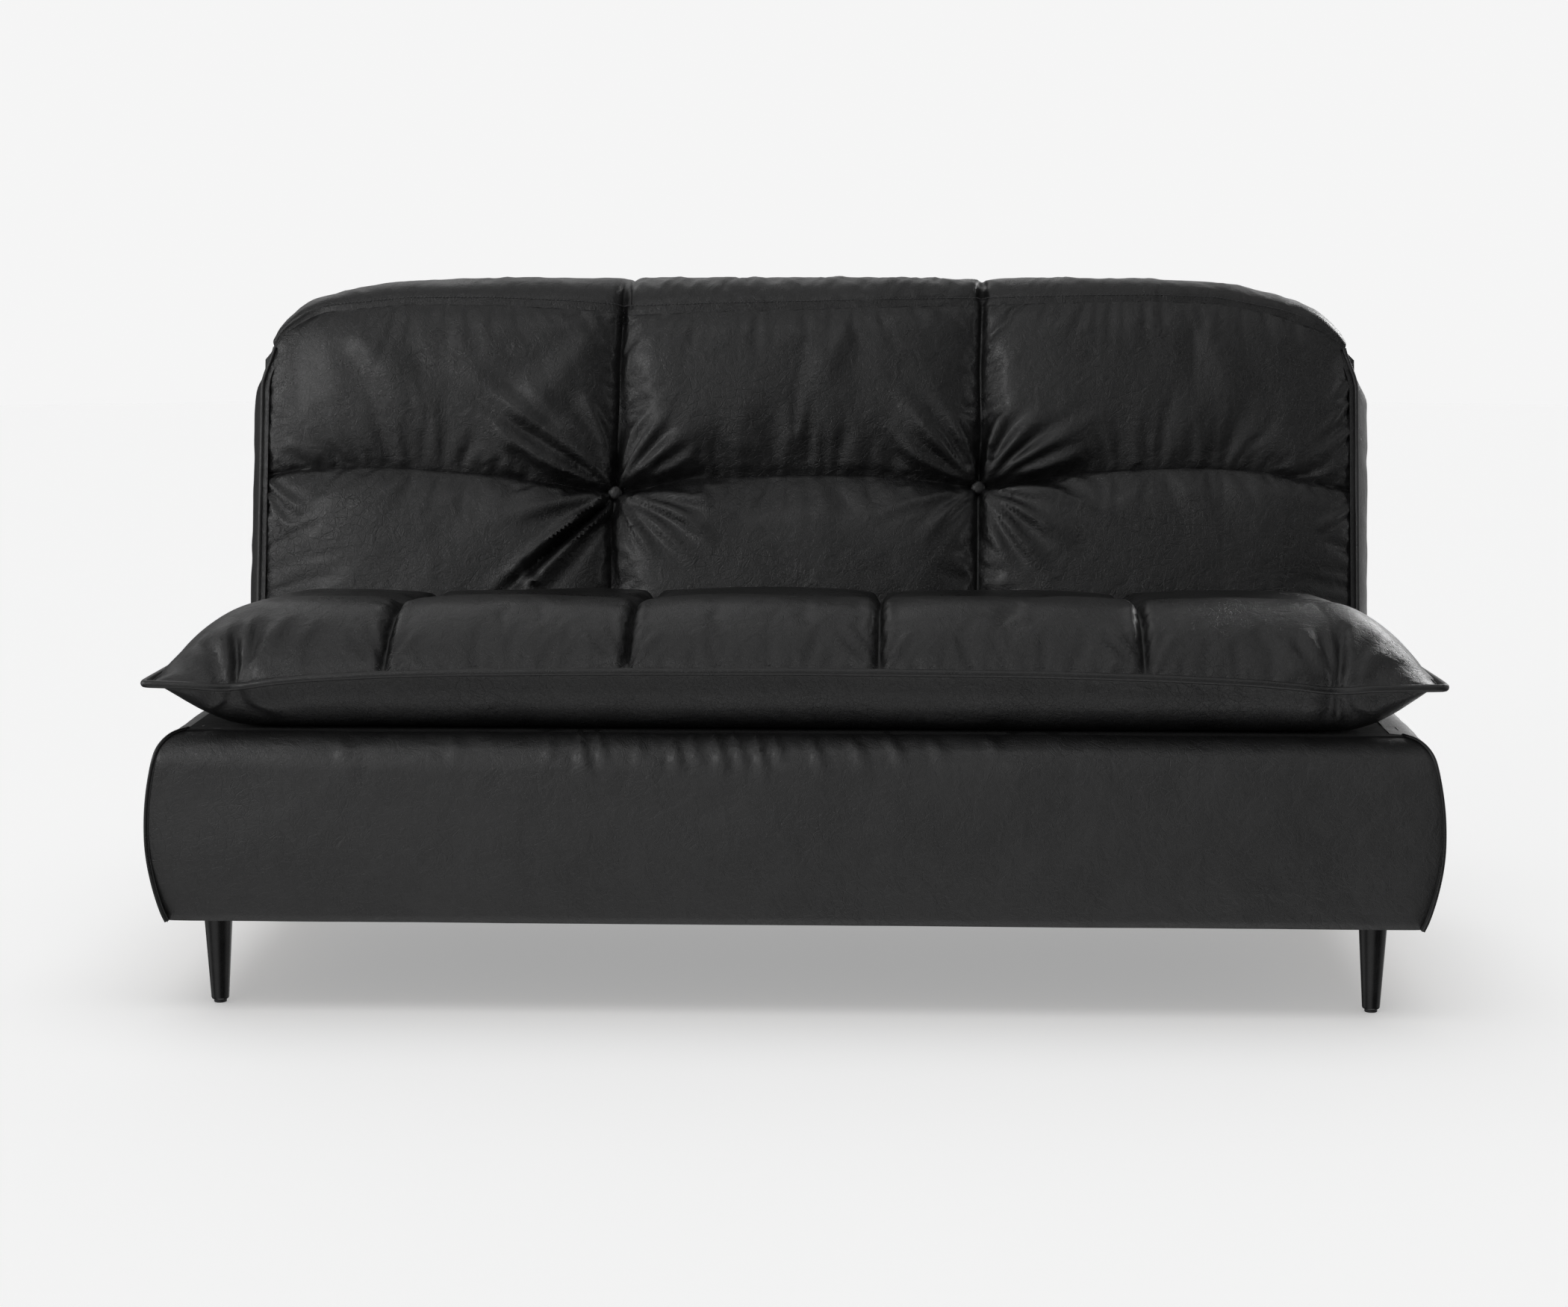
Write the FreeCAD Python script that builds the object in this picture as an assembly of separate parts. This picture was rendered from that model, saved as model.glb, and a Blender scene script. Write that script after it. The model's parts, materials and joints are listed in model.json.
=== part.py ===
import FreeCAD
import Part

import math
import os

from FreeCAD import Vector

# A futon sofa bed: an upholstered wooden base on four tapered legs, a pillow-top seat,
# and a tufted back that turns on two ratchet hinges from upright to flat.
# All sizes are in millimetres. X runs across the sofa, Y from front to rear, Z up.
# While modelling, Y is counted from the seat's front edge. Before export the whole
# sofa is moved so that the origin is on the floor, under the middle of its outline.

# ---------------------------------------------------------------- driving sizes
# Base box
FRAME_WIDTH = 1502.0  # over the side boards
FRAME_DEPTH = 695.0  # over the front and rear boards
FRAME_HEIGHT = 226.0  # side boards, in front of the step
BOARD = 20.0  # thickness of the box boards
FRONT_PAD = 18.0  # padding and leather over the front board
FRONT_SETBACK = 12.0  # the seat's edge stands this far in front of the base
REAR_PAD = 8.0
SIDE_BULGE = 49.0  # padding over a side board at its fullest height
SIDE_FOOT = 26.0  # the same padding along the bottom edge
TOP_ROUND_DROP = 56.0  # how far below the top the side's round edge begins
FRONT_ROUND = 45.0  # radius of the front panel's top edge
BOARD_ROUND = 12.0  # radius on the front board's top edge
DECK_CLOTH = 8.0  # padded cloth over the springs
DECK_STEP = 40.0  # the rear deck lies this far under the seat deck
STEP_SETBACK = 9.0  # rear face of the seat box, in front of the seat's rear seam
BEARER = 45.0  # width of the beams that carry the hinges
PLY = 6.0  # thickness of the rear deck board
HEM = 4.0  # the covers hang this far below the boards

# Legs
LEG_HEIGHT = 112.0
LEG_TOP_R = 18.0
LEG_FOOT_R = 11.0
LEG_ROUND = 3.0
GLIDE_HEIGHT = 4.0
GLIDE_R = 8.0
PLATE = 56.0
PLATE_T = 3.0
LEG_BOLT_R = 4.0
LEG_BOLT_IN = 30.0  # length of the bolt inside the leg, and again above the plate
BOLT_CLEARANCE = 0.2
SCREW_R = 2.0
SCREW_LENGTH = 24.0
SCREW_HEAD_R = 4.0
SCREW_HEAD_T = 1.6

# Seat
SEAT_OVERHANG = 30.0  # the seat's side seam stands this far outside the side board
SEAT_EDGE_RISE = 76.0  # seam above the pillow's underside
SEAT_CREST_RISE = 154.0
SEAT_REAR_RISE = 128.0
SEAT_CREST_AT = 140.0
SEAT_SIDE_ROUND = 110.0
SEAT_UNDER_FRONT = 70.0  # the underside touches the base from here
SEAT_UNDER_REAR = 40.0
SEAT_UNDER_SIDE = 60.0
FOAM_SLAB = 34.0
FOAM_INSET = 55.0
PIPING_R = 4.0
EAR_ROUND = 14.0

# Seat springs
SPRING_COUNT = 9
SPRING_WIRE_R = 1.8
SPRING_PITCH = 22.0
SPRING_WIDTH = 46.0
SPRING_CLIP = 26.0

# Back: u runs up the back from the hinge, w from the hinge towards the sitter
LEAN = 12.0  # degrees from upright
HINGE_SETBACK = 49.0  # hinge axis in front of the rear board's rear face
CREASE_GAP = 20.0  # between the seat's rear seam and the plane of the back's face seam
HINGE_RISE = 76.0  # hinge axis above the rear deck
FACE_W = 84.0  # seam of the cushion's face in front of the hinge axis
CROWN = 16.0  # the cushion's belly in front of that seam
CUSHION_SIDE_ROUND = 44.0  # width of the cushion's rounded sides
REAR_W = 66.0  # rear cover behind the hinge axis
BACK_TOP_U = 518.0
BACK_END_U = 45.0  # frame and side panels end this far below the hinge
CUSHION_END_U = 72.0  # the cushion ends this far below the hinge
BACK_OVERHANG = 44.0  # the back's side panel stands this far outside the side board
CUSHION_OVERHANG = 17.0  # and the cushion's side seam this far
SHOULDER_X = 320.0  # width of the rounded top corner
SHOULDER_U = 80.0  # its height
PAD_W = 45.0  # plane where cushion and foam core meet
COVER_T = 4.0
STILE = 45.0
STILE_DEPTH = 60.0
STILE_INSET = 16.0  # the back's outer stile stands this far inside the side board's face
RAIL_HEIGHT = 45.0
TOP_RAIL_U = 410.0
BOTTOM_RAIL_U = 35.0
MID_STILE_X = 400.0
WEB_T = 1.5
WEB_WIDTH = 50.0
END_ROUND = 30.0

# Buttons
BUTTON_X = 256.0
BUTTON_U = 205.0
BUTTON_R = 10.5
BUTTON_T = 6.0
BUTTON_SINK = 30.0  # below the cushion's belly
DIMPLE_R = 34.0
TWINE_R = 1.0
TWINE_HOLE_R = 2.5
WASHER_R = 12.0
WASHER_T = 2.0

# Ratchet hinges
PLATE_STEEL = 5.0
HINGE_GAP = 1.5  # between the fixed plate and the moving arm
EAR_R = 23.0
PIN_R = 5.0
PIN_HEAD_R = 9.0
PIN_HEAD_T = 3.0
PIN_CLEARANCE = 0.06
ARM_WIDTH = 30.0
ARM_REACH = 200.0
ARM_OFFSET = 25.0  # the arm's bar runs this far behind the hinge axis
RATCHET_TIP_R = 26.0
RATCHET_ROOT_R = 22.8
RATCHET_STOPS = 4  # upright, two half-way stops and flat
BRACKET_WIDTH = 56.0
BRACKET_DROP = 170.0  # below the hinge axis
PAWL_Y = -33.0  # the pawl's pin, from the hinge axis
PAWL_Z = -40.0
PAWL_PIN_R = 3.0
PAWL_R = 7.0
PAWL_NOSE_R = 2.5
PAWL_CLEARANCE = 0.25  # between the pawl's nose and the notch it sits in
PAWL_SPRING_TURNS = 3
PAWL_SPRING_WIRE = 0.9
BOLT_R = 3.0
BOLT_HEAD_R = 5.5
BOLT_HEAD_T = 4.0
BUMPER_R = 10.0
BUMPER_GAP = 1.0  # between a bumper and the back when it lies flat

# Gap between pieces that only lie against each other
FIT = 0.3

# ---------------------------------------------------------------- derived places
BOX_FRONT = FRONT_SETBACK + FRONT_PAD
BOX_REAR = BOX_FRONT + FRAME_DEPTH
BOX_SIDE = FRAME_WIDTH / 2
HINGE_Y = BOX_REAR - HINGE_SETBACK
SEAT_DEPTH = HINGE_Y - FACE_W - CREASE_GAP
SEAT_HALF = BOX_SIDE + SEAT_OVERHANG
STEP_AT = SEAT_DEPTH - STEP_SETBACK
BACK_HALF = BOX_SIDE + BACK_OVERHANG
CUSHION_HALF = BOX_SIDE + CUSHION_OVERHANG
STILE_OUTER = BOX_SIDE - STILE_INSET
PLATE_Z = GLIDE_HEIGHT + LEG_HEIGHT
FRAME_Z = PLATE_Z + PLATE_T + FIT / 3
HEM_Z = FRAME_Z - HEM
FRAME_TOP = FRAME_Z + FRAME_HEIGHT
DECK_TOP = FRAME_TOP + DECK_CLOTH
REAR_DECK_TOP = DECK_TOP - DECK_STEP
REAR_BOARD_TOP = REAR_DECK_TOP - DECK_CLOTH - PLY
SEAT_EDGE_Z = DECK_TOP + SEAT_EDGE_RISE
HINGE_Z = REAR_DECK_TOP + HINGE_RISE
FLAT_TURN = 90.0 - LEAN
LEG_X = BOX_SIDE - PLATE / 2
LEG_FRONT = BOX_FRONT + BOARD + PLATE / 2
LEG_REAR = BOX_REAR - BOARD - PLATE / 2
STILE_INNER = STILE_OUTER - STILE
ARM_X = STILE_INNER - PLATE_STEEL - FIT  # inner face of the moving arm
EAR_X = ARM_X - HINGE_GAP - PLATE_STEEL  # inner face of the fixed plate
BEARER_X = EAR_X - FIT  # outer face of the beam
NOTCH_X0 = EAR_X - 24.0
NOTCH_X1 = STILE_INNER
NOTCH_U = EAR_R + 7.0
NOTCH_W = 6.0 - PAWL_Y  # past the pawl end of the fixed plate
FRAME_BACK_W = -REAR_W + COVER_T + FIT
FRAME_FACE_W = FRAME_BACK_W + STILE_DEPTH
WEB_TOP_W = FRAME_FACE_W + 2 * (WEB_T + FIT)
BELLY_W = FACE_W + CROWN
BUTTON_W = BELLY_W - BUTTON_SINK
SIDES = {"left": -1, "right": 1}


# ---------------------------------------------------------------- helpers
def box(x0, x1, y0, y1, z0, z1):
    return Part.makeBox(x1 - x0, y1 - y0, z1 - z0, Vector(x0, y0, z0))


def rod(radius, start, end):
    """A round bar from one point to another."""
    along = end - start
    return Part.makeCylinder(radius, along.Length, start, along)


def along_x(points_to_wire, x0, x1):
    """Extrudes a closed (y, z) outline from x0 to x1."""
    face = Part.Face(points_to_wire)
    face.translate(Vector(x0, 0, 0))
    return face.extrude(Vector(x1 - x0, 0, 0))


def yz(y, z):
    return Vector(0, y, z)


def xz(x, z):
    return Vector(x, 0, z)


def line(a, b):
    return Part.LineSegment(a, b).toShape()


def arc(a, through, b):
    return Part.Arc(a, through, b).toShape()


def group(shapes):
    return Part.makeCompound(shapes)


def mirrored(shape, side):
    """The piece as drawn for the right-hand side, or its mirror image on the left."""
    return shape if side > 0 else shape.mirror(Vector(0, 0, 0), Vector(1, 0, 0))


def placed_back(shape):
    """Stands a piece drawn in (x, u, w) up on the hinge: u was drawn as +Y, w as +Z."""
    turned = shape.copy()
    turned.rotate(Vector(0, 0, 0), Vector(1, 0, 0), FLAT_TURN)
    turned.translate(Vector(0, HINGE_Y, HINGE_Z))
    return turned


def arc_point(centre_y, centre_z, radius, degrees):
    angle = math.radians(degrees)
    return yz(centre_y + radius * math.cos(angle), centre_z + radius * math.sin(angle))


# ---------------------------------------------------------------- base box
def base_outline():
    """The base's closed outline seen from the front, with bellied sides and round top edges."""
    foot, belly = BOX_SIDE + SIDE_FOOT, BOX_SIDE + SIDE_BULGE
    shoulder_z = DECK_TOP - TOP_ROUND_DROP
    shoulder = belly - 9.0
    top = BOX_SIDE
    middle_z = (HEM_Z + shoulder_z) / 2
    edge = (shoulder + top) / 2 + 11.0
    edge_z = (shoulder_z + DECK_TOP) / 2 + 10.0
    edges = [
        line(xz(-foot, HEM_Z), xz(foot, HEM_Z)),
        arc(xz(foot, HEM_Z), xz(belly, middle_z + 20.0), xz(shoulder, shoulder_z)),
        arc(xz(shoulder, shoulder_z), xz(edge, edge_z), xz(top, DECK_TOP)),
        line(xz(top, DECK_TOP), xz(-top, DECK_TOP)),
        arc(xz(-top, DECK_TOP), xz(-edge, edge_z), xz(-shoulder, shoulder_z)),
        arc(xz(-shoulder, shoulder_z), xz(-belly, middle_z + 20.0), xz(-foot, HEM_Z)),
    ]
    return Part.Wire(edges)


def base_envelope(y0, y1):
    """The base's outer form between two depths, with its round top edge along the front."""
    face = Part.Face(base_outline())
    face.translate(Vector(0, y0, 0))
    across = face.extrude(Vector(0, y1 - y0, 0))
    front, rear, r = FRONT_SETBACK, BOX_REAR + REAR_PAD, FRONT_ROUND
    profile = Part.Wire([
        line(yz(front, HEM_Z), yz(rear, HEM_Z)),
        line(yz(rear, HEM_Z), yz(rear, DECK_TOP)),
        line(yz(rear, DECK_TOP), yz(front + r, DECK_TOP)),
        arc(yz(front + r, DECK_TOP), arc_point(front + r, DECK_TOP - r, r, 135.0), yz(front, DECK_TOP - r)),
        line(yz(front, DECK_TOP - r), yz(front, HEM_Z)),
    ])
    return across.common(along_x(profile, -BOX_SIDE - SIDE_BULGE - 1, BOX_SIDE + SIDE_BULGE + 1))


def front_board_blank(grow):
    """The front board with its round top edge, or the room that it needs."""
    front, top, r = BOX_FRONT, FRAME_TOP, BOARD_ROUND
    low = FRAME_Z if grow == 0 else 0.0
    middle = arc_point(front + r, top - r, r + grow, 135.0)
    outline = Part.Wire([
        line(yz(front - grow, low), yz(front + BOARD, low)),
        line(yz(front + BOARD, low), yz(front + BOARD, top + grow)),
        line(yz(front + BOARD, top + grow), yz(front + r, top + grow)),
        arc(yz(front + r, top + grow), middle, yz(front - grow, top - r)),
        line(yz(front - grow, top - r), yz(front - grow, low)),
    ])
    return along_x(outline, -BOX_SIDE - grow, BOX_SIDE + grow)


def rear_board():
    return box(-BOX_SIDE, BOX_SIDE, BOX_REAR - BOARD, BOX_REAR, FRAME_Z, REAR_BOARD_TOP)


def seat_rear_rail():
    inner = BOX_SIDE - BOARD - FIT
    rail = box(-inner, inner, STEP_AT - BOARD, STEP_AT, FRAME_Z + FRAME_HEIGHT / 2, FRAME_TOP)
    for side in SIDES.values():
        rail = rail.cut(mirrored(bearer_blank(FIT), side))
    return rail


def side_board(side):
    """A side board, with the step down to the rear deck."""
    y0, y1 = BOX_FRONT + BOARD + FIT, BOX_REAR - BOARD - FIT
    outline = Part.makePolygon([
        yz(y0, FRAME_Z), yz(y1, FRAME_Z), yz(y1, REAR_BOARD_TOP), yz(STEP_AT, REAR_BOARD_TOP),
        yz(STEP_AT, FRAME_TOP), yz(y0, FRAME_TOP), yz(y0, FRAME_Z),
    ])
    return mirrored(along_x(outline, BOX_SIDE - BOARD, BOX_SIDE), side)


def bearer_blank(grow):
    """The beam that carries a hinge, from the front board to the rear board."""
    return box(
        BEARER_X - BEARER - grow, BEARER_X + grow,
        BOX_FRONT + BOARD + FIT, BOX_REAR - BOARD - FIT,
        FRAME_Z + PLY - grow, REAR_BOARD_TOP - FIT + grow,
    )


def centre_beam():
    top = FRAME_TOP - SPRING_CLIP
    return box(
        -BEARER / 2, BEARER / 2, BOX_FRONT + BOARD + FIT, STEP_AT - BOARD - FIT, FRAME_Z, top - 20.0
    )


def corner_blocks():
    """Four blocks that the legs bolt into."""
    blocks = []
    height = FRAME_HEIGHT / 3
    for x in (-LEG_X, LEG_X):
        for y in (LEG_FRONT, LEG_REAR):
            half = PLATE / 2 - FIT
            x_in, x_out = (x - half, x + half - BOARD) if x > 0 else (x - half + BOARD, x + half)
            block = box(x_in, x_out, y - half, y + half, FRAME_Z, FRAME_Z + height)
            block = block.cut(rod(LEG_BOLT_R + BOLT_CLEARANCE, Vector(x, y, 0), Vector(x, y, FRAME_TOP)))
            for sx, sy in plate_screw_places():
                pilot_top = PLATE_Z + SCREW_LENGTH + 1.0
                block = block.cut(rod(SCREW_R + BOLT_CLEARANCE, Vector(sx, sy, 0), Vector(sx, sy, pilot_top)))
            blocks.append(block)
    return group(blocks)


def rear_deck_board():
    """Thin board that closes the box behind the seat, slotted for the hinges."""
    inner = BOX_SIDE - FIT
    z0 = REAR_BOARD_TOP + FIT
    board = box(-inner, inner, STEP_AT + FIT, BOX_REAR, z0, REAR_BOARD_TOP + PLY)
    for side in SIDES.values():
        board = board.cut(mirrored(hinge_slot(), side))
    return board


def hinge_slot():
    """The opening in the rear deck that a hinge's fixed plate comes up through."""
    half = BRACKET_WIDTH / 2 + 4.0
    return box(
        EAR_X - 2.0, EAR_X + PLATE_STEEL + 2.0, HINGE_Y - half, HINGE_Y + half,
        REAR_BOARD_TOP - 1.0, REAR_DECK_TOP + 1.0,
    )


# ---------------------------------------------------------------- seat suspension
def zigzag(x):
    """One sinuous spring from the front board to the seat's rear rail."""
    y0 = BOX_FRONT + BOARD + FIT + SPRING_WIRE_R
    y1 = STEP_AT - BOARD - FIT - SPRING_WIRE_R
    z = FRAME_TOP - 3.0 - SPRING_WIRE_R
    bends = max(2, 2 * int((y1 - y0) / SPRING_PITCH / 2))
    pitch = (y1 - y0) / bends
    bend_r = pitch / 2
    reach = SPRING_WIDTH / 2 - bend_r
    edges, side, y = [], 1, y0 + bend_r
    edges.append(line(Vector(x - reach, y0, z), Vector(x + reach, y0, z)))
    for _ in range(bends - 1):
        tip = Vector(x + side * (reach + bend_r), y, z)
        a = Vector(x + side * reach, y - bend_r, z)
        b = Vector(x + side * reach, y + bend_r, z)
        edges.append(arc(a, tip, b))
        y += pitch
        edges.append(line(b, Vector(x - side * reach, b.y, z)))
        side = -side
    path = Part.Wire(edges)
    start = Vector(x - reach, y0, z)
    section = Part.Wire(Part.makeCircle(SPRING_WIRE_R, start, Vector(1, 0, 0)))
    return path.makePipeShell([section], True, False)


def spring_places():
    span = BEARER_X - BEARER - SPRING_WIDTH
    return [span * (2 * i / (SPRING_COUNT - 1) - 1) for i in range(SPRING_COUNT)]


def seat_springs():
    return group([zigzag(x) for x in spring_places()])


def spring_clips():
    """Small steel clips on the rails that hold the springs' end wires."""
    clips = []
    lift = FRAME_TOP - 3.0 - 2 * SPRING_WIRE_R - FIT
    for x in spring_places():
        for y0, y1 in (
            (BOX_FRONT + BOARD + FIT, BOX_FRONT + BOARD + FIT + 9.0),
            (STEP_AT - BOARD - FIT - 9.0, STEP_AT - BOARD - FIT),
        ):
            clips.append(box(x - 9.0, x + 9.0, y0, y1, lift - 1.2, lift))
    return group(clips)


def seat_deck_cloth():
    """Padded cloth stretched over the springs, inside the front panel's lip."""
    y0 = BOX_FRONT + BOARD
    envelope = base_envelope(y0, STEP_AT)
    slab = box(-BOX_SIDE, BOX_SIDE, y0, STEP_AT, FRAME_TOP + FIT, DECK_TOP - FIT)
    return slab.common(envelope)


# ---------------------------------------------------------------- base covers
def front_cover():
    """Padded front panel, with a round top edge that folds back over the front board."""
    panel = base_envelope(FRONT_SETBACK, BOX_FRONT - FIT)
    lip = base_envelope(BOX_FRONT - FIT, BOX_FRONT + BOARD - FIT)
    lip = lip.common(box(-BOX_SIDE, BOX_SIDE, 0, 2 * BOX_FRONT, 0, DECK_TOP + 1))
    return panel.fuse(lip.cut(front_board_blank(FIT))).removeSplitter()


def side_cover(side):
    """Bellied side panel over a side board, stepped down beside the back."""
    outside = box(BOX_SIDE + FIT, 2 * BOX_SIDE, 0, 2 * BOX_REAR, 0, DECK_TOP + 1)
    panel = base_envelope(BOX_FRONT, BOX_REAR).common(outside)
    step = box(0, 2 * BOX_SIDE, STEP_AT, 2 * BOX_REAR, REAR_DECK_TOP, DECK_TOP + 1)
    return mirrored(panel.cut(step), side)


def rear_cover():
    """Padded panel over the rear board and the side panels' rear ends."""
    low = base_envelope(BOX_REAR + FIT, BOX_REAR + REAR_PAD)
    above = box(-2 * BOX_SIDE, 2 * BOX_SIDE, 0, 2 * BOX_REAR, REAR_DECK_TOP, DECK_TOP + 1)
    return low.cut(above)


def rear_deck_cover():
    """Padded leather on the rear deck and up the step behind the seat."""
    z0 = REAR_BOARD_TOP + PLY + FIT
    inner = BOX_SIDE - FIT
    cover = box(-inner, inner, STEP_AT + FIT, BOX_REAR, z0, REAR_DECK_TOP)
    for side in SIDES.values():
        cover = cover.cut(mirrored(hinge_slot(), side))
    return cover


def dust_cover():
    """Thin black cloth under the box, cut back at the legs."""
    inner = BOX_SIDE - 10.0
    z1 = FRAME_Z - FIT
    sheet = box(-inner, inner, BOX_FRONT + 10.0, BOX_REAR - 10.0, z1 - 1.0, z1)
    half = PLATE / 2 + 4.0
    for x in (-LEG_X, LEG_X):
        for y in (LEG_FRONT, LEG_REAR):
            sheet = sheet.cut(box(x - half, x + half, y - half, y + half, 0, FRAME_TOP))
    return sheet


# ---------------------------------------------------------------- legs
def leg_places():
    return {
        "front_left": (-LEG_X, LEG_FRONT),
        "front_right": (LEG_X, LEG_FRONT),
        "rear_left": (-LEG_X, LEG_REAR),
        "rear_right": (LEG_X, LEG_REAR),
    }


def leg(x, y):
    """A tapered round leg, bored for its bolt from above and for its glide from below."""
    body = Part.makeCone(LEG_FOOT_R, LEG_TOP_R, LEG_HEIGHT, Vector(x, y, GLIDE_HEIGHT))
    foot = [e for e in body.Edges if e.BoundBox.ZMax < GLIDE_HEIGHT + 1 and e.isClosed()]
    body = body.makeFillet(LEG_ROUND, foot)
    bore_start = Vector(x, y, PLATE_Z - LEG_BOLT_IN - 1.0)
    body = body.cut(rod(LEG_BOLT_R + BOLT_CLEARANCE, bore_start, Vector(x, y, PLATE_Z + 1)))
    stem = rod(LEG_BOLT_R + BOLT_CLEARANCE, Vector(x, y, 0), Vector(x, y, GLIDE_HEIGHT + 13.0))
    return body.cut(stem)


def leg_glides():
    """Nylon discs under the feet, each with a stem pressed up into its leg."""
    glides = []
    for x, y in leg_places().values():
        disc = rod(GLIDE_R, Vector(x, y, 0), Vector(x, y, GLIDE_HEIGHT - FIT / 3))
        edge = [e for e in disc.Edges if e.BoundBox.ZMax < 0.5]
        disc = disc.makeFillet(1.0, edge)
        stem = rod(LEG_BOLT_R, Vector(x, y, 1.0), Vector(x, y, GLIDE_HEIGHT + 12.0))
        glides.append(disc.fuse(stem).removeSplitter())
    return group(glides)


def leg_bolts():
    bolts = []
    for x, y in leg_places().values():
        bolts.append(rod(
            LEG_BOLT_R, Vector(x, y, PLATE_Z - LEG_BOLT_IN), Vector(x, y, PLATE_Z + LEG_BOLT_IN)
        ))
    return group(bolts)


def plate_screw_places():
    half = PLATE / 2 - 10.0
    places = []
    for x, y in leg_places().values():
        inward = -1 if x > 0 else 1
        for dy in (-half, half):
            places.append((x + inward * half, y + dy))
    return places


def leg_plates():
    plates = []
    for x, y in leg_places().values():
        half = PLATE / 2
        plate = box(x - half, x + half, y - half, y + half, PLATE_Z + FIT / 3, PLATE_Z + PLATE_T)
        plate = plate.cut(rod(LEG_BOLT_R + BOLT_CLEARANCE, Vector(x, y, 0), Vector(x, y, FRAME_TOP)))
        for sx, sy in plate_screw_places():
            if abs(sx - x) < half and abs(sy - y) < half:
                hole = rod(SCREW_R + BOLT_CLEARANCE, Vector(sx, sy, 0), Vector(sx, sy, FRAME_TOP))
                plate = plate.cut(hole)
        plates.append(plate)
    return group(plates)


def leg_plate_screws():
    """Pan-head screws through the leg plates into the corner blocks."""
    screws = []
    for x, y in plate_screw_places():
        head_top = PLATE_Z
        head = rod(SCREW_HEAD_R, Vector(x, y, head_top - SCREW_HEAD_T), Vector(x, y, head_top))
        shank = rod(SCREW_R, Vector(x, y, head_top), Vector(x, y, head_top + SCREW_LENGTH))
        screws.append(head.fuse(shank).removeSplitter())
    return group(screws)


# ---------------------------------------------------------------- seat
def seat_body():
    """The pillow's closed form: a side profile and a front profile, each extruded and crossed."""
    z0, edge, crest = DECK_TOP + FIT, SEAT_EDGE_Z, DECK_TOP + SEAT_CREST_RISE
    rear, depth = DECK_TOP + SEAT_REAR_RISE, SEAT_DEPTH
    under_rear = depth - SEAT_UNDER_REAR
    rear_edge = depth - 50.0
    side_profile = Part.Wire([
        line(yz(SEAT_UNDER_FRONT, z0), yz(under_rear, z0)),
        arc(yz(under_rear, z0), yz(depth - 7.0, (z0 + edge) / 2 - 6.0), yz(depth, edge)),
        arc(yz(depth, edge), yz(depth - 10.0, edge + 30.0), yz(rear_edge, rear)),
        line(yz(rear_edge, rear), yz(SEAT_CREST_AT, crest)),
        arc(yz(SEAT_CREST_AT, crest), yz(36.0, (edge + crest) / 2 + 19.0), yz(0, edge)),
        arc(yz(0, edge), yz(16.0, (z0 + edge) / 2 - 8.0), yz(SEAT_UNDER_FRONT, z0)),
    ])
    under = SEAT_HALF - SEAT_UNDER_SIDE
    top = SEAT_HALF - SEAT_SIDE_ROUND
    cheek, cheek_z = SEAT_HALF - 34.0, (edge + crest) / 2 + 15.0
    jowl, jowl_z = SEAT_HALF - 18.0, (edge + z0) / 2 - 4.0
    front_profile = Part.Wire([
        line(xz(-under, z0), xz(under, z0)),
        arc(xz(under, z0), xz(jowl, jowl_z), xz(SEAT_HALF, edge)),
        arc(xz(SEAT_HALF, edge), xz(cheek, cheek_z), xz(top, crest)),
        line(xz(top, crest), xz(-top, crest)),
        arc(xz(-top, crest), xz(-cheek, cheek_z), xz(-SEAT_HALF, edge)),
        arc(xz(-SEAT_HALF, edge), xz(-jowl, jowl_z), xz(-under, z0)),
    ])
    along = along_x(side_profile, -SEAT_HALF - 1, SEAT_HALF + 1)
    across = Part.Face(front_profile)
    across.translate(Vector(0, -1, 0))
    across = across.extrude(Vector(0, depth + 2, 0))
    return along.common(across)


def foam_blank(grow):
    """The foam slab inside the seat pillow's underside."""
    x = SEAT_HALF - SEAT_UNDER_SIDE - FOAM_INSET + grow
    y0 = SEAT_UNDER_FRONT + FOAM_INSET / 2 - grow
    y1 = SEAT_DEPTH - SEAT_UNDER_REAR - FOAM_INSET / 2 + grow
    return box(-x, x, y0, y1, DECK_TOP + FIT, DECK_TOP + FOAM_SLAB + grow)


def seat_pillow():
    return seat_body().cut(foam_blank(FIT))


def seat_piping():
    """Piped seam round the pillow, with tight corners that stand out as ears."""
    out = PIPING_R + FIT
    x, y0, y1, z = SEAT_HALF + out, -out, SEAT_DEPTH + out, SEAT_EDGE_Z
    r = EAR_ROUND
    far = r * (1 - math.sqrt(0.5))
    corner = {
        (1, 0): (Vector(x, y0 + r, z), Vector(x - far, y0 + far, z), Vector(x - r, y0, z)),
        (-1, 0): (Vector(-x + r, y0, z), Vector(-x + far, y0 + far, z), Vector(-x, y0 + r, z)),
        (-1, 1): (Vector(-x, y1 - r, z), Vector(-x + far, y1 - far, z), Vector(-x + r, y1, z)),
        (1, 1): (Vector(x - r, y1, z), Vector(x - far, y1 - far, z), Vector(x, y1 - r, z)),
    }
    order = [(1, 0), (-1, 0), (-1, 1), (1, 1)]
    edges = []
    for i, key in enumerate(order):
        edges.append(arc(*corner[key]))
        edges.append(line(corner[key][2], corner[order[(i + 1) % 4]][0]))
    path = Part.Wire(edges)
    section = Part.Wire(Part.makeCircle(PIPING_R, corner[(1, 0)][0], Vector(0, 1, 0)))
    return path.makePipeShell([section], True, False).cut(seat_body())


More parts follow.
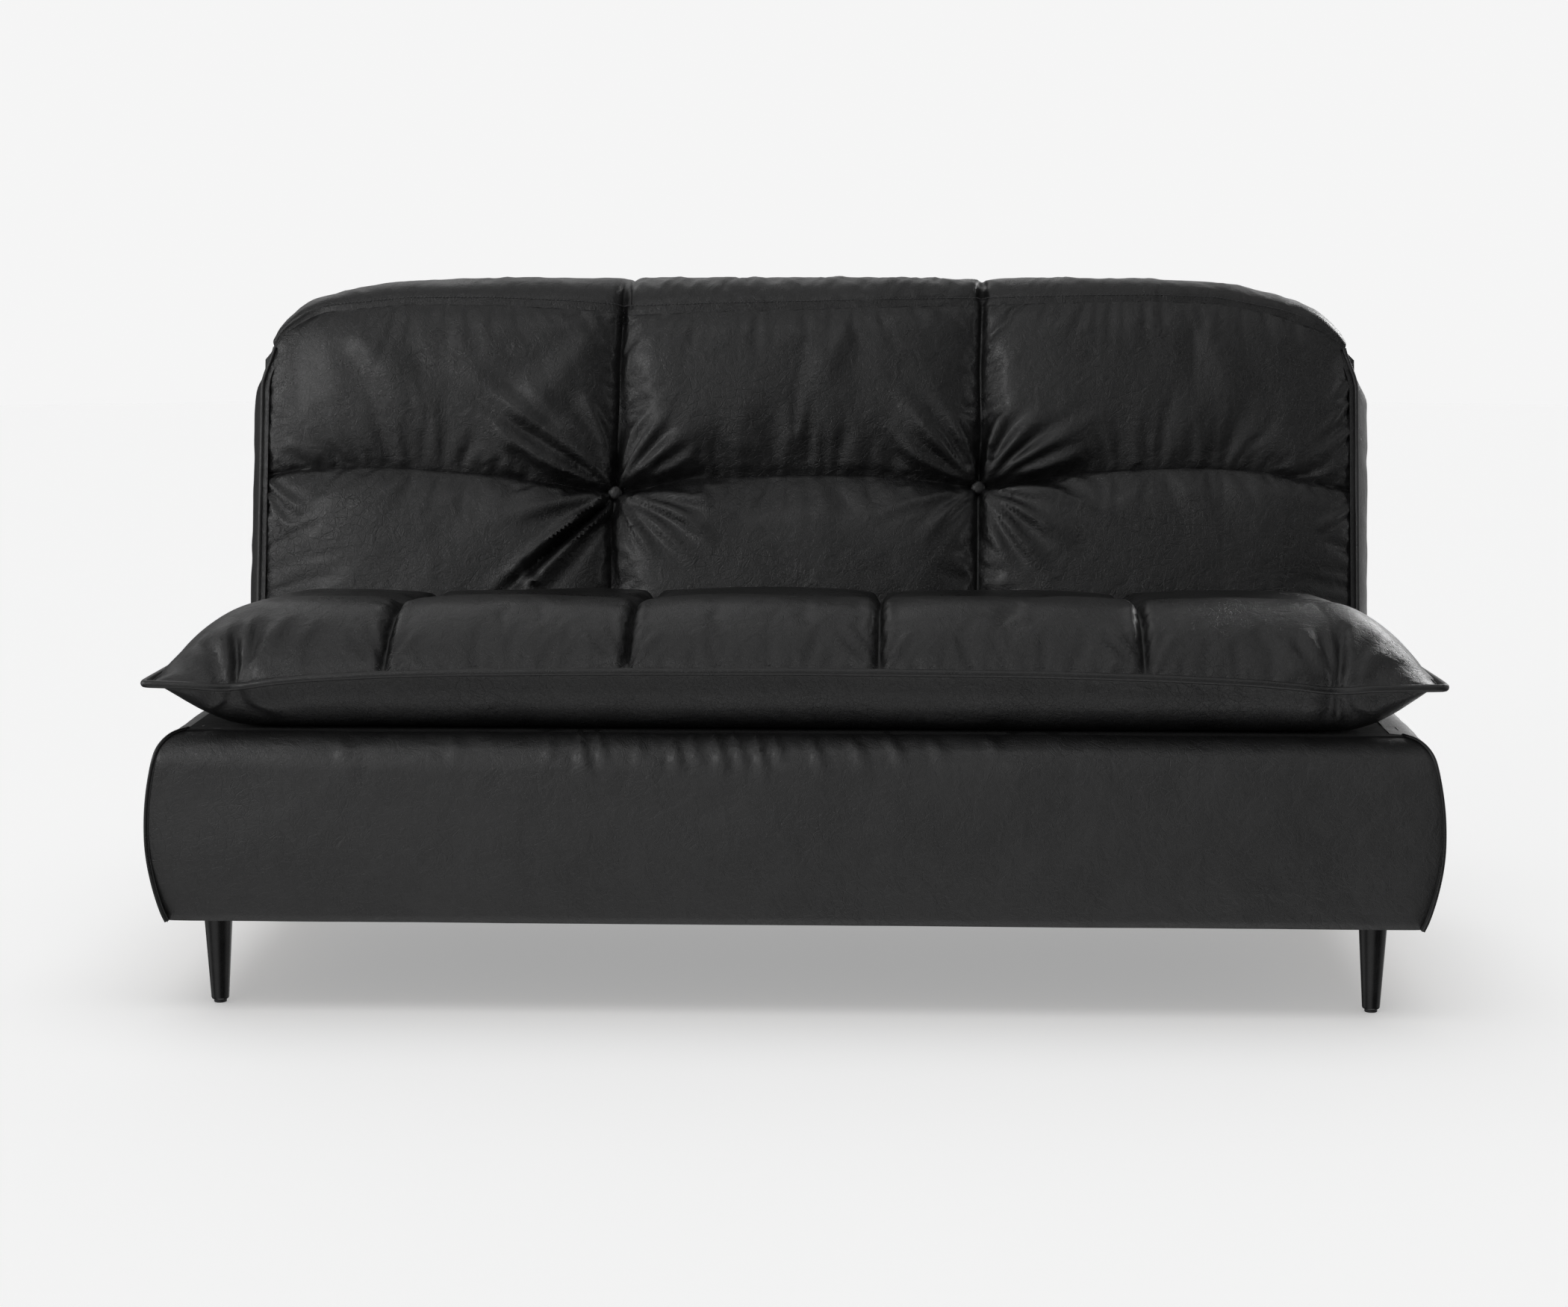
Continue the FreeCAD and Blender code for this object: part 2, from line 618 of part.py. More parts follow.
# ---------------------------------------------------------------- back, drawn as (x, u, w)
def back_outline(half, end_u, top_u):
    """Outline of the back seen from the sitter's side, with round top corners."""
    shoulder_u = top_u - SHOULDER_U
    inner = half - SHOULDER_X
    mid_x = inner + SHOULDER_X * math.sin(math.radians(52))
    mid_u = shoulder_u + SHOULDER_U * math.cos(math.radians(52)) * 1.02
    edges = [
        line(Vector(-half, -end_u, 0), Vector(half, -end_u, 0)),
        line(Vector(half, -end_u, 0), Vector(half, shoulder_u, 0)),
        curve([Vector(half, shoulder_u, 0), Vector(mid_x, mid_u, 0), Vector(inner, top_u, 0)]),
        line(Vector(inner, top_u, 0), Vector(-inner, top_u, 0)),
        curve([Vector(-inner, top_u, 0), Vector(-mid_x, mid_u, 0), Vector(-half, shoulder_u, 0)]),
        line(Vector(-half, shoulder_u, 0), Vector(-half, -end_u, 0)),
    ]
    return Part.Wire(edges)


def curve(points):
    """A quarter of an ellipse between the first and last point, upright at the outer end."""
    first, last = points[0], points[-1]
    outer = first if abs(first.x) > abs(last.x) else last
    inner = last if outer is first else first
    bend = 4.0 / 3.0 * (math.sqrt(2.0) - 1.0)
    outer_pull = Vector(outer.x, outer.y + bend * (inner.y - outer.y), 0)
    inner_pull = Vector(inner.x + bend * (outer.x - inner.x), inner.y, 0)
    pulls = [outer_pull, inner_pull] if outer is first else [inner_pull, outer_pull]
    bezier = Part.BezierCurve()
    bezier.setPoles([first, *pulls, last])
    return bezier.toShape()


def back_slab(half, end_u, top_u, w0, w1):
    face = Part.Face(back_outline(half, end_u, top_u))
    face.translate(Vector(0, 0, w0))
    return face.extrude(Vector(0, 0, w1 - w0))


def hinge_notch():
    """Room in the back's lower end for the fixed plate, the arm and the pawl."""
    return box(NOTCH_X0, NOTCH_X1, -CUSHION_END_U - 1, NOTCH_U, -REAR_W - 1, NOTCH_W)


def with_notches(shape):
    for side in SIDES.values():
        shape = shape.cut(mirrored(hinge_notch(), side))
    return shape


def side_section(end_u, top_u):
    """The back's closed section seen from the side, in (u, w)."""
    u0, u1 = -end_u, top_u
    r = END_ROUND
    f = r * (1 - math.sqrt(0.5))
    low_w, high_w = -REAR_W, PAD_W + 2
    outline = Part.Wire([
        line(yz(u0 + r, low_w), yz(u1 - r, low_w)),
        arc(yz(u1 - r, low_w), yz(u1 - f, low_w + f), yz(u1, low_w + r)),
        line(yz(u1, low_w + r), yz(u1, high_w)),
        line(yz(u1, high_w), yz(u0, high_w)),
        line(yz(u0, high_w), yz(u0, low_w + r)),
        arc(yz(u0, low_w + r), yz(u0 + f, low_w + f), yz(u0 + r, low_w)),
    ])
    return along_x(outline, -BACK_HALF - 1, BACK_HALF + 1)


def cushion_section():
    """The cushion's closed section seen from the side, in (u, w)."""
    u0, u1 = -CUSHION_END_U, BACK_TOP_U
    w0 = PAD_W + FIT
    outline = Part.Wire([
        line(yz(u0 + 6.0, w0), yz(u1, w0)),
        arc(yz(u1, w0), yz(u1 - 13.0, w0 + 22.0), yz(u1 - 48.0, FACE_W - 3.0)),
        arc(yz(u1 - 48.0, FACE_W - 3.0), yz((u0 + u1) / 2, BELLY_W), yz(u0 + 42.0, FACE_W - 3.0)),
        arc(yz(u0 + 42.0, FACE_W - 3.0), yz(u0 + 9.0, w0 + 23.0), yz(u0 + 6.0, w0)),
    ])
    return along_x(outline, -BACK_HALF, BACK_HALF)


def twine_hole(x, radius):
    return rod(radius, Vector(x, BUTTON_U, -REAR_W - 5), Vector(x, BUTTON_U, BELLY_W + 5))


def dimple(x):
    """The funnel that a button pulls into the cushion."""
    depth = BELLY_W + 6.0 - BUTTON_W + BUTTON_T / 2
    return Part.makeCone(
        BUTTON_R + 2.0, DIMPLE_R, depth, Vector(x, BUTTON_U, BUTTON_W - BUTTON_T / 2), Vector(0, 0, 1)
    )


def cushion_across():
    """The cushion's closed section seen from above its end, in (x, w)."""
    half, flat = CUSHION_HALF, CUSHION_HALF - CUSHION_SIDE_ROUND
    cheek, cheek_w = half - CUSHION_SIDE_ROUND * 0.24, PAD_W + (BELLY_W - PAD_W) * 0.62
    outline = Part.Wire([
        line(xz(-half, PAD_W), xz(half, PAD_W)),
        arc(xz(half, PAD_W), xz(cheek, cheek_w), xz(flat, BELLY_W + 1.0)),
        line(xz(flat, BELLY_W + 1.0), xz(-flat, BELLY_W + 1.0)),
        arc(xz(-flat, BELLY_W + 1.0), xz(-cheek, cheek_w), xz(-half, PAD_W)),
    ])
    face = Part.Face(outline)
    face.translate(Vector(0, -2 * CUSHION_END_U, 0))
    return face.extrude(Vector(0, BACK_TOP_U + 3 * CUSHION_END_U, 0))


def back_cushion():
    """The tufted cushion on the back's face."""
    slab = back_slab(CUSHION_HALF, CUSHION_END_U, BACK_TOP_U, PAD_W, BELLY_W + 5)
    cushion = cushion_section().common(slab).common(cushion_across())
    for x in (-BUTTON_X, BUTTON_X):
        cushion = cushion.cut(dimple(x)).cut(twine_hole(x, TWINE_HOLE_R))
    return cushion


def side_panel(side):
    """Bellied side panel of the back, from the cushion's seam to the rear cover."""
    slab = back_slab(BACK_HALF, BACK_END_U, BACK_TOP_U, -REAR_W, PAD_W)
    shape = slab.common(side_section(BACK_END_U, BACK_TOP_U))
    shape = shape.common(box(
        STILE_OUTER + FIT, BACK_HALF + 1, -CUSHION_END_U, BACK_TOP_U + 1, -REAR_W - 1, PAD_W + 1
    ))
    taper = Part.Face(Part.makePolygon([
        xz(CUSHION_HALF + 4.0, PAD_W + 1), xz(BACK_HALF + 1, PAD_W + 1),
        xz(BACK_HALF + 1, PAD_W - 40.0), xz(CUSHION_HALF + 4.0, PAD_W + 1),
    ]))
    taper.translate(Vector(0, -CUSHION_END_U - 1, 0))
    taper = taper.extrude(Vector(0, BACK_TOP_U + CUSHION_END_U + 2, 0))
    return mirrored(shape.cut(taper), side)


def top_panel():
    """Padded boxing along the top of the back, between the side panels."""
    inner = STILE_OUTER
    low = TOP_RAIL_U + RAIL_HEIGHT + FIT
    slab = back_slab(BACK_HALF, BACK_END_U, BACK_TOP_U, -REAR_W, PAD_W)
    shape = slab.common(side_section(BACK_END_U, BACK_TOP_U))
    return shape.common(box(-inner, inner, low, BACK_TOP_U + 1, -REAR_W + COVER_T + FIT, PAD_W))


def back_rear_cover():
    """Leather panel that closes the back's rear face."""
    slab = back_slab(STILE_OUTER, BACK_END_U - END_ROUND / 2, BACK_TOP_U, -REAR_W, -REAR_W + COVER_T)
    shape = slab.common(side_section(BACK_END_U, BACK_TOP_U))
    for x in (-BUTTON_X, BUTTON_X):
        shape = shape.cut(twine_hole(x, TWINE_HOLE_R))
    return with_notches(shape)


def foam_core():
    """Foam between the webbing and the cushion."""
    inner = STILE_OUTER
    top = TOP_RAIL_U + RAIL_HEIGHT
    foam = box(-inner, inner, -BACK_END_U, top, WEB_TOP_W + FIT, PAD_W - FIT)
    for x in (-BUTTON_X, BUTTON_X):
        foam = foam.cut(twine_hole(x, TWINE_HOLE_R))
    return with_notches(foam)


def lower_foam():
    """Foam roll below the bottom rail, between the hinges."""
    inner = NOTCH_X0 - FIT
    roll = box(-inner, inner, -BACK_END_U + 5.0, BOTTOM_RAIL_U - FIT, FRAME_BACK_W, FRAME_FACE_W)
    return roll.makeFillet(END_ROUND * 0.8, lower_rear_edge(roll))


def lower_rear_edge(shape):
    """The edge across the lower rear corner of a piece of the back."""
    low, rear = shape.BoundBox.YMin + 0.5, shape.BoundBox.ZMin + 0.5
    return [e for e in shape.Edges if e.BoundBox.YMax < low and e.BoundBox.ZMax < rear]


def stile(side):
    """Outer upright of the back's frame, rounded at its lower rear corner."""
    post = box(
        STILE_INNER, STILE_OUTER, -BACK_END_U + 5.0, TOP_RAIL_U + RAIL_HEIGHT, FRAME_BACK_W, FRAME_FACE_W
    )
    post = post.makeFillet(END_ROUND * 0.8, lower_rear_edge(post))
    for u in arm_bolt_places():
        post = post.cut(x_rod(BOLT_R + BOLT_CLEARANCE, u, -ARM_OFFSET, 0, STILE_OUTER - 8.0))
    return mirrored(post, side)


def back_rail(u):
    reach = ARM_X - FIT
    return box(-reach, reach, u, u + RAIL_HEIGHT, FRAME_BACK_W, FRAME_FACE_W)


def mid_stiles():
    low, high = BOTTOM_RAIL_U + RAIL_HEIGHT + FIT, TOP_RAIL_U - FIT
    posts = []
    for x in (-MID_STILE_X, MID_STILE_X):
        posts.append(box(x - STILE / 2, x + STILE / 2, low, high, FRAME_BACK_W, FRAME_FACE_W - 8.0))
    return group(posts)


def webbing():
    """Elastic straps over the frame, upright ones below and level ones above."""
    straps = []
    low, high = BOTTOM_RAIL_U + 8.0, TOP_RAIL_U + RAIL_HEIGHT - 8.0
    w0 = FRAME_FACE_W + FIT / 2
    w1 = w0 + WEB_T + FIT / 2
    count = 7
    span = STILE_INNER - 1.6 * WEB_WIDTH
    for i in range(count):
        x = span * (2 * i / (count - 1) - 1)
        straps.append(box(x - WEB_WIDTH / 2, x + WEB_WIDTH / 2, low, high, w0, w0 + WEB_T))
    reach = STILE_OUTER - 8.0
    for u in (BUTTON_U - 95.0, BUTTON_U, BUTTON_U + 95.0):
        straps.append(box(-reach, reach, u - WEB_WIDTH / 2, u + WEB_WIDTH / 2, w1, w1 + WEB_T))
    holes = [twine_hole(x, TWINE_HOLE_R) for x in (-BUTTON_X, BUTTON_X)]
    return group([strap.cut(group(holes)) for strap in straps])


# ---------------------------------------------------------------- buttons
def tuft_button(x):
    """A covered button with its shank."""
    dome = Part.makeSphere(BUTTON_R * 1.25, Vector(x, BUTTON_U, BUTTON_W + BUTTON_T / 2 - BUTTON_R * 1.25))
    under = BUTTON_W - BUTTON_T / 2 + FIT
    disc = rod(BUTTON_R, Vector(x, BUTTON_U, under), Vector(x, BUTTON_U, BELLY_W))
    body = disc.common(dome)
    return body.cut(rod(TWINE_R + 0.2, Vector(x, BUTTON_U, 0), Vector(x, BUTTON_U, BUTTON_W)))


def tuft_twines():
    cords = []
    for x in (-BUTTON_X, BUTTON_X):
        low, high = FRAME_FACE_W - 12.0, BUTTON_W - FIT
        cords.append(rod(TWINE_R, Vector(x, BUTTON_U, low), Vector(x, BUTTON_U, high)))
    return group(cords)


def tuft_washers():
    """Discs that the twines are tied to, behind the webbing."""
    washers = []
    for x in (-BUTTON_X, BUTTON_X):
        top = FRAME_FACE_W - FIT
        disc = rod(WASHER_R, Vector(x, BUTTON_U, top - WASHER_T), Vector(x, BUTTON_U, top))
        washers.append(disc.cut(twine_hole(x, TWINE_R + 0.2)))
    return group(washers)


# ---------------------------------------------------------------- ratchet hinges
def bracket_bolt_places():
    """(y, z) of the bolts that hold a fixed plate to its beam."""
    top = REAR_BOARD_TOP - 24.0
    low = HINGE_Z - BRACKET_DROP + 22.0
    dy = BRACKET_WIDTH / 2 - 14.0
    return [(HINGE_Y - dy, top), (HINGE_Y + dy, top), (HINGE_Y - dy, low), (HINGE_Y + dy, low)]


def arm_bolt_places():
    return [ARM_REACH * share for share in (0.5, 0.7, 0.9)]


def hinge_plate(side):
    """Fixed plate: bolted to the beam, it carries the hinge pin and the pawl's pin."""
    half, low = BRACKET_WIDTH / 2, HINGE_Z - BRACKET_DROP
    neck = HINGE_Z + PAWL_Z - 4.0
    outline = Part.Wire([
        line(yz(HINGE_Y - half, low), yz(HINGE_Y + half, low)),
        line(yz(HINGE_Y + half, low), yz(HINGE_Y + half, neck)),
        line(yz(HINGE_Y + half, neck), yz(HINGE_Y + EAR_R, HINGE_Z)),
        arc(yz(HINGE_Y + EAR_R, HINGE_Z), yz(HINGE_Y, HINGE_Z + EAR_R), yz(HINGE_Y - EAR_R, HINGE_Z)),
        line(yz(HINGE_Y - EAR_R, HINGE_Z), yz(HINGE_Y + PAWL_Y - 9.0, HINGE_Z + PAWL_Z + 6.0)),
        line(yz(HINGE_Y + PAWL_Y - 9.0, HINGE_Z + PAWL_Z + 6.0), yz(HINGE_Y + PAWL_Y - 9.0, neck - 6.0)),
        line(yz(HINGE_Y + PAWL_Y - 9.0, neck - 6.0), yz(HINGE_Y - half, neck - 16.0)),
        line(yz(HINGE_Y - half, neck - 16.0), yz(HINGE_Y - half, low)),
    ])
    plate = along_x(outline, EAR_X, EAR_X + PLATE_STEEL)
    plate = plate.cut(x_rod(PIN_R + PIN_CLEARANCE, HINGE_Y, HINGE_Z, 0, STILE_OUTER))
    pawl_y, pawl_z = HINGE_Y + PAWL_Y, HINGE_Z + PAWL_Z
    plate = plate.cut(x_rod(PAWL_PIN_R + PIN_CLEARANCE, pawl_y, pawl_z, 0, STILE_OUTER))
    for y, z in bracket_bolt_places():
        plate = plate.cut(x_rod(BOLT_R + BOLT_CLEARANCE, y, z, 0, STILE_OUTER))
    return mirrored(plate, side)


def x_rod(radius, y, z, x0, x1):
    return rod(radius, Vector(x0, y, z), Vector(x1, y, z))


def plate_bolts(side):
    """Bolts through a fixed plate into its beam."""
    bolts = []
    face = EAR_X + PLATE_STEEL
    for y, z in bracket_bolt_places():
        shank = x_rod(BOLT_R, y, z, BEARER_X - BEARER + 8.0, face)
        head = x_rod(BOLT_HEAD_R, y, z, face + FIT / 3, face + BOLT_HEAD_T - FIT)
        bolts.append(mirrored(shank.fuse(x_rod(BOLT_R, y, z, face - 1, face + 1)).fuse(head), side))
    return bolts


def drilled_bearer(side):
    beam = bearer_blank(0)
    for y, z in bracket_bolt_places():
        beam = beam.cut(x_rod(BOLT_R + BOLT_CLEARANCE, y, z, BEARER_X - BEARER + 7.0, BEARER_X + 1))
    return mirrored(beam, side)


def ratchet_step():
    """Degrees from one notch of the ratchet to the next."""
    return FLAT_TURN / (RATCHET_STOPS - 1)


def ratchet_profile():
    """Notched sector of the moving arm, in (u, w). The first notch is the upright stop."""
    upright, step = 180.0 + LEAN, ratchet_step()
    points = [arc_point(0, 0, RATCHET_TIP_R, upright - step / 2)]
    for i in range(RATCHET_STOPS):
        points.append(arc_point(0, 0, RATCHET_ROOT_R, upright + i * step))
        points.append(arc_point(0, 0, RATCHET_TIP_R, upright + (i + 0.5) * step))
    return points


def pawl_nose_radius():
    """How far from the hinge axis the pawl's nose is centred when it sits in a notch."""
    half = math.radians(ratchet_step() / 2)
    flank = math.atan2(RATCHET_TIP_R * math.cos(half) - RATCHET_ROOT_R, RATCHET_TIP_R * math.sin(half))
    return RATCHET_ROOT_R + (PAWL_NOSE_R + PAWL_CLEARANCE) / math.cos(flank)


def hinge_arm(side):
    """Moving arm: a toothed sector round the pin, and a bar bolted to the back's stile."""
    hub = x_rod(RATCHET_ROOT_R - 1.0, 0, 0, ARM_X, ARM_X + PLATE_STEEL)
    teeth = ratchet_profile()
    sector = along_x(Part.makePolygon([yz(0, 0), *teeth, yz(0, 0)]), ARM_X, ARM_X + PLATE_STEEL)
    low, high = -ARM_OFFSET - ARM_WIDTH / 2, -ARM_OFFSET + ARM_WIDTH / 2
    bar = Part.makePolygon([
        yz(-2.0, RATCHET_ROOT_R - 3.0), yz(ARM_OFFSET, high + 4.0), yz(ARM_REACH, high),
        yz(ARM_REACH, low), yz(RATCHET_ROOT_R + 12.0, low), yz(8.0, -RATCHET_ROOT_R + 3.0),
        yz(-2.0, RATCHET_ROOT_R - 3.0),
    ])
    arm = hub.fuse([sector, along_x(bar, ARM_X, ARM_X + PLATE_STEEL)]).removeSplitter()
    arm = arm.cut(x_rod(PIN_R + PIN_CLEARANCE, 0, 0, 0, STILE_OUTER))
    for u in arm_bolt_places():
        arm = arm.cut(x_rod(BOLT_R + BOLT_CLEARANCE, u, -ARM_OFFSET, 0, STILE_OUTER))
    return mirrored(arm, side)


def arm_bolts(side):
    """Bolts through a moving arm into its stile."""
    bolts = []
    for u in arm_bolt_places():
        shank = x_rod(BOLT_R, u, -ARM_OFFSET, ARM_X - FIT, STILE_OUTER - 10.0)
        head = x_rod(BOLT_HEAD_R, u, -ARM_OFFSET, ARM_X - BOLT_HEAD_T, ARM_X - FIT)
        bolts.append(mirrored(shank.fuse(head).removeSplitter(), side))
    return bolts


def hinge_pin(side):
    """Headed pin through the fixed plate and the arm, with a peened end."""
    outer = ARM_X + PLATE_STEEL
    shank = x_rod(PIN_R, HINGE_Y, HINGE_Z, EAR_X - PIN_HEAD_T, outer)
    head = x_rod(PIN_HEAD_R, HINGE_Y, HINGE_Z, EAR_X - PIN_HEAD_T - FIT, EAR_X - FIT)
    washer = x_rod(
        PIN_HEAD_R, HINGE_Y, HINGE_Z, EAR_X + PLATE_STEEL + FIT, ARM_X - FIT
    )
    return mirrored(shank.fuse([head, washer]).removeSplitter(), side)


def pawl(side):
    """Catch under the ratchet, with its nose in the upright notch."""
    y, z = HINGE_Y + PAWL_Y, HINGE_Z + PAWL_Z
    nose_z = HINGE_Z - pawl_nose_radius()
    x0, x1 = ARM_X + FIT, ARM_X + PLATE_STEEL - FIT
    hub = x_rod(PAWL_R, y, z, x0, x1)
    nose = x_rod(PAWL_NOSE_R, HINGE_Y, nose_z, x0, x1)
    lever = along_x(
        Part.makePolygon([
            yz(y - 1.0, z + PAWL_R - 0.6), yz(HINGE_Y - PAWL_NOSE_R, nose_z - 0.4),
            yz(HINGE_Y + 1.0, nose_z - PAWL_NOSE_R + 0.4), yz(y + 3.0, z - PAWL_R + 0.8),
            yz(y - 1.0, z + PAWL_R - 0.6),
        ]), x0, x1,
    )
    body = hub.fuse([nose, lever]).removeSplitter()
    body = body.cut(x_rod(PAWL_PIN_R + PIN_CLEARANCE, y, z, 0, STILE_OUTER))
    return mirrored(body, side)


def pawl_pin(side):
    y, z = HINGE_Y + PAWL_Y, HINGE_Z + PAWL_Z
    shank = x_rod(PAWL_PIN_R, y, z, EAR_X - 11.0, ARM_X + PLATE_STEEL)
    head = x_rod(PAWL_PIN_R + 2.0, y, z, EAR_X - 12.0, EAR_X - 10.0)
    return mirrored(shank.fuse(head).removeSplitter(), side)


def pawl_spring(side):
    """Torsion spring on the pawl's pin, beside the fixed plate."""
    y, z = HINGE_Y + PAWL_Y, HINGE_Z + PAWL_Z
    coil_r = PAWL_PIN_R + PAWL_SPRING_WIRE + 0.8
    pitch = 2 * PAWL_SPRING_WIRE + 0.5
    helix = Part.makeHelix(pitch, pitch * PAWL_SPRING_TURNS, coil_r)
    section = Part.Wire(Part.makeCircle(PAWL_SPRING_WIRE, Vector(coil_r, 0, 0), Vector(0, 1, 0)))
    coil = Part.Wire(helix).makePipeShell([section], True, True)
    coil.rotate(Vector(0, 0, 0), Vector(0, 1, 0), 90)
    coil.translate(Vector(EAR_X - 1.4 - pitch * PAWL_SPRING_TURNS, y, z))
    return mirrored(coil, side)


def deck_bumpers():
    """Rubber pads on the rear deck that the back rests on when it lies flat."""
    pads = []
    rest = HINGE_Z - REAR_W - BUMPER_GAP
    for x in (-BUTTON_X * 1.8, BUTTON_X * 1.8):
        y = BOX_REAR - BUMPER_R - 2.0
        pads.append(rod(BUMPER_R, Vector(x, y, REAR_DECK_TOP + FIT / 3), Vector(x, y, rest)))
    return group(pads)


# ---------------------------------------------------------------- the whole sofa
def base_nodes():
    nodes = {
        "front_board": front_board_blank(0),
        "rear_board": rear_board(),
        "seat_rear_rail": seat_rear_rail(),
        "centre_beam": centre_beam(),
        "corner_blocks": corner_blocks(),
        "rear_deck_board": rear_deck_board(),
        "seat_springs": seat_springs(),
        "spring_clips": spring_clips(),
        "seat_deck_cloth": seat_deck_cloth(),
        "base_front_cover": front_cover(),
        "base_rear_cover": rear_cover(),
        "rear_deck_cover": rear_deck_cover(),
        "dust_cover": dust_cover(),
        "leg_glides": leg_glides(),
        "leg_bolts": leg_bolts(),
        "leg_plates": leg_plates(),
        "leg_plate_screws": leg_plate_screws(),
        "seat_pillow": seat_pillow(),
        "seat_foam_slab": foam_blank(0),
        "seat_piping": seat_piping(),
        "deck_bumpers": deck_bumpers(),
        "hinge_bearers": group([drilled_bearer(s) for s in SIDES.values()]),
        "hinge_plate_bolts": group([b for s in SIDES.values() for b in plate_bolts(s)]),
        "hinge_pins": group([hinge_pin(s) for s in SIDES.values()]),
        "pawl_pins": group([pawl_pin(s) for s in SIDES.values()]),
    }
    for name, (x, y) in leg_places().items():
        nodes["leg_" + name] = leg(x, y)
    for name, side in SIDES.items():
        nodes["side_board_" + name] = side_board(side)
        nodes["base_side_cover_" + name] = side_cover(side)
        nodes["hinge_plate_" + name] = hinge_plate(side)
        nodes["pawl_" + name] = pawl(side)
        nodes["pawl_spring_" + name] = pawl_spring(side)
    return nodes


def back_nodes():
    nodes = {
        "back_cushion": back_cushion(),
        "back_foam_core": foam_core(),
        "back_lower_foam": lower_foam(),
        "back_top_panel": top_panel(),
        "back_rear_cover": back_rear_cover(),
        "back_top_rail": back_rail(TOP_RAIL_U),
        "back_bottom_rail": back_rail(BOTTOM_RAIL_U),
        "back_mid_stiles": mid_stiles(),
        "back_webbing": webbing(),
        "tuft_twines": tuft_twines(),
        "tuft_washers": tuft_washers(),
        "hinge_arm_bolts": group([b for s in SIDES.values() for b in arm_bolts(s)]),
    }
    for name, side in SIDES.items():
        nodes["back_stile_" + name] = stile(side)
        nodes["back_side_panel_" + name] = side_panel(side)
        nodes["hinge_arm_" + name] = hinge_arm(side)
        nodes["tuft_button_" + name] = tuft_button(side * BUTTON_X)
    return {name: placed_back(shape) for name, shape in nodes.items()}


def main():
    os.makedirs("parts", exist_ok=True)
    nodes = {**base_nodes(), **back_nodes()}
    outer = [nodes[name].optimalBoundingBox(False) for name in ("seat_piping", "back_side_panel_left")]
    lowest, highest = outer[0].YMin, outer[1].YMax
    middle = (lowest + highest) / 2
    for name, shape in nodes.items():
        shape.translate(Vector(0, -middle, 0))
        if not shape.isValid() or not shape.Solids:
            print("check", name, "valid", shape.isValid(), "solids", len(shape.Solids))
        shape.exportStep("parts/" + name + ".step")
    print("nodes", len(nodes), "depth", round(highest - lowest, 2), "middle", round(middle, 3))
    print("hinge axis y", round(HINGE_Y - middle, 3), "z", round(HINGE_Z, 3))
    print("pawl axis y", round(HINGE_Y + PAWL_Y - middle, 3), "z", round(HINGE_Z + PAWL_Z, 3))
    print("leg x", LEG_X, "y", round(LEG_FRONT - middle, 3), round(LEG_REAR - middle, 3))


main()
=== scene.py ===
"""Black leather futon sofa bed: the upholstery, finishes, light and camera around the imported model.

Lengths are in millimetres until a mesh is made. The back is modelled in its own axes: x to the right, u up along
the back from the hinge axis, and w out of its face. The seat uses v, the distance behind its front seam.
"""

import json
import math

import bmesh
import bpy
import numpy as np
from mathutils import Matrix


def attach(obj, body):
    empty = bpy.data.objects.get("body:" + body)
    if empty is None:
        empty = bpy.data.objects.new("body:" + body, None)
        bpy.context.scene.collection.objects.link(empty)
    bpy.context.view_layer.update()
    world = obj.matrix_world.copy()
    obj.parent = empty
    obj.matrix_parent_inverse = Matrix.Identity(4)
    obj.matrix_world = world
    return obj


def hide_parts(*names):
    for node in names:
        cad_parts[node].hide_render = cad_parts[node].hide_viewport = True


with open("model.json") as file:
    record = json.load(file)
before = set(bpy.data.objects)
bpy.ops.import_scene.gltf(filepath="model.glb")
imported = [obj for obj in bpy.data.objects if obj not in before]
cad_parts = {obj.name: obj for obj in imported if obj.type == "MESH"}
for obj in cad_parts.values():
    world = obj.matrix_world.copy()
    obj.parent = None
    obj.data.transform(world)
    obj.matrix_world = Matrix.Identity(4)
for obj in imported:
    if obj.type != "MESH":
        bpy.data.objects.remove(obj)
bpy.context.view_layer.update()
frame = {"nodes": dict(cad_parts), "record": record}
nodes = frame["nodes"]

MM = 0.001
HINGE = (0.0, 259.5, 389.1)
LEAN = math.radians(12.0)
SHARP = math.radians(62.0)
SIDES = {-1: "left", 1: "right"}


# ---- numbers

def smooth(t):
    t = np.clip(t, 0.0, 1.0)
    return t * t * (3 - 2 * t)


def bell(x, width, power=2):
    """1 where x is 0, dying away on both sides by about width."""
    return np.exp(-((x / width) ** power))


def fade(x, reach):
    """1 where x is 0, dying away beyond it."""
    return np.exp(-x / reach)


def unit(rows):
    return rows / np.linalg.norm(rows, axis=1, keepdims=True)


def graded(low, high, coarse, fine, marks, reach):
    """Places from low to high, coarse apart, closing up to fine around each mark."""
    at = np.linspace(low, high, 8001)
    near = np.zeros_like(at)
    for mark in marks:
        near = np.maximum(near, bell(at - mark, reach))
    rate = 1 / (coarse + (fine - coarse) * near)
    count = np.concatenate([[0.0], np.cumsum((rate[1:] + rate[:-1]) / 2 * np.diff(at))])
    return np.interp(np.linspace(0, count[-1], int(math.ceil(count[-1])) + 1), count, at)


def line_through(soften, *numbers):
    """A smooth function that passes near the points given as pairs of numbers."""
    xs, ys = np.reshape(numbers, (-1, 2)).astype(float).T
    fine = np.linspace(xs[0] - 4 * soften, xs[-1] + 4 * soften, 3001)
    step = fine[1] - fine[0]
    half = int(3 * soften / step) + 1
    kernel = bell(np.arange(-half, half + 1) * step, soften)
    padded = np.pad(np.interp(fine, xs, ys), half, mode="edge")
    value = np.convolve(padded, kernel / kernel.sum(), mode="valid")
    return lambda x: np.interp(x, fine, value)


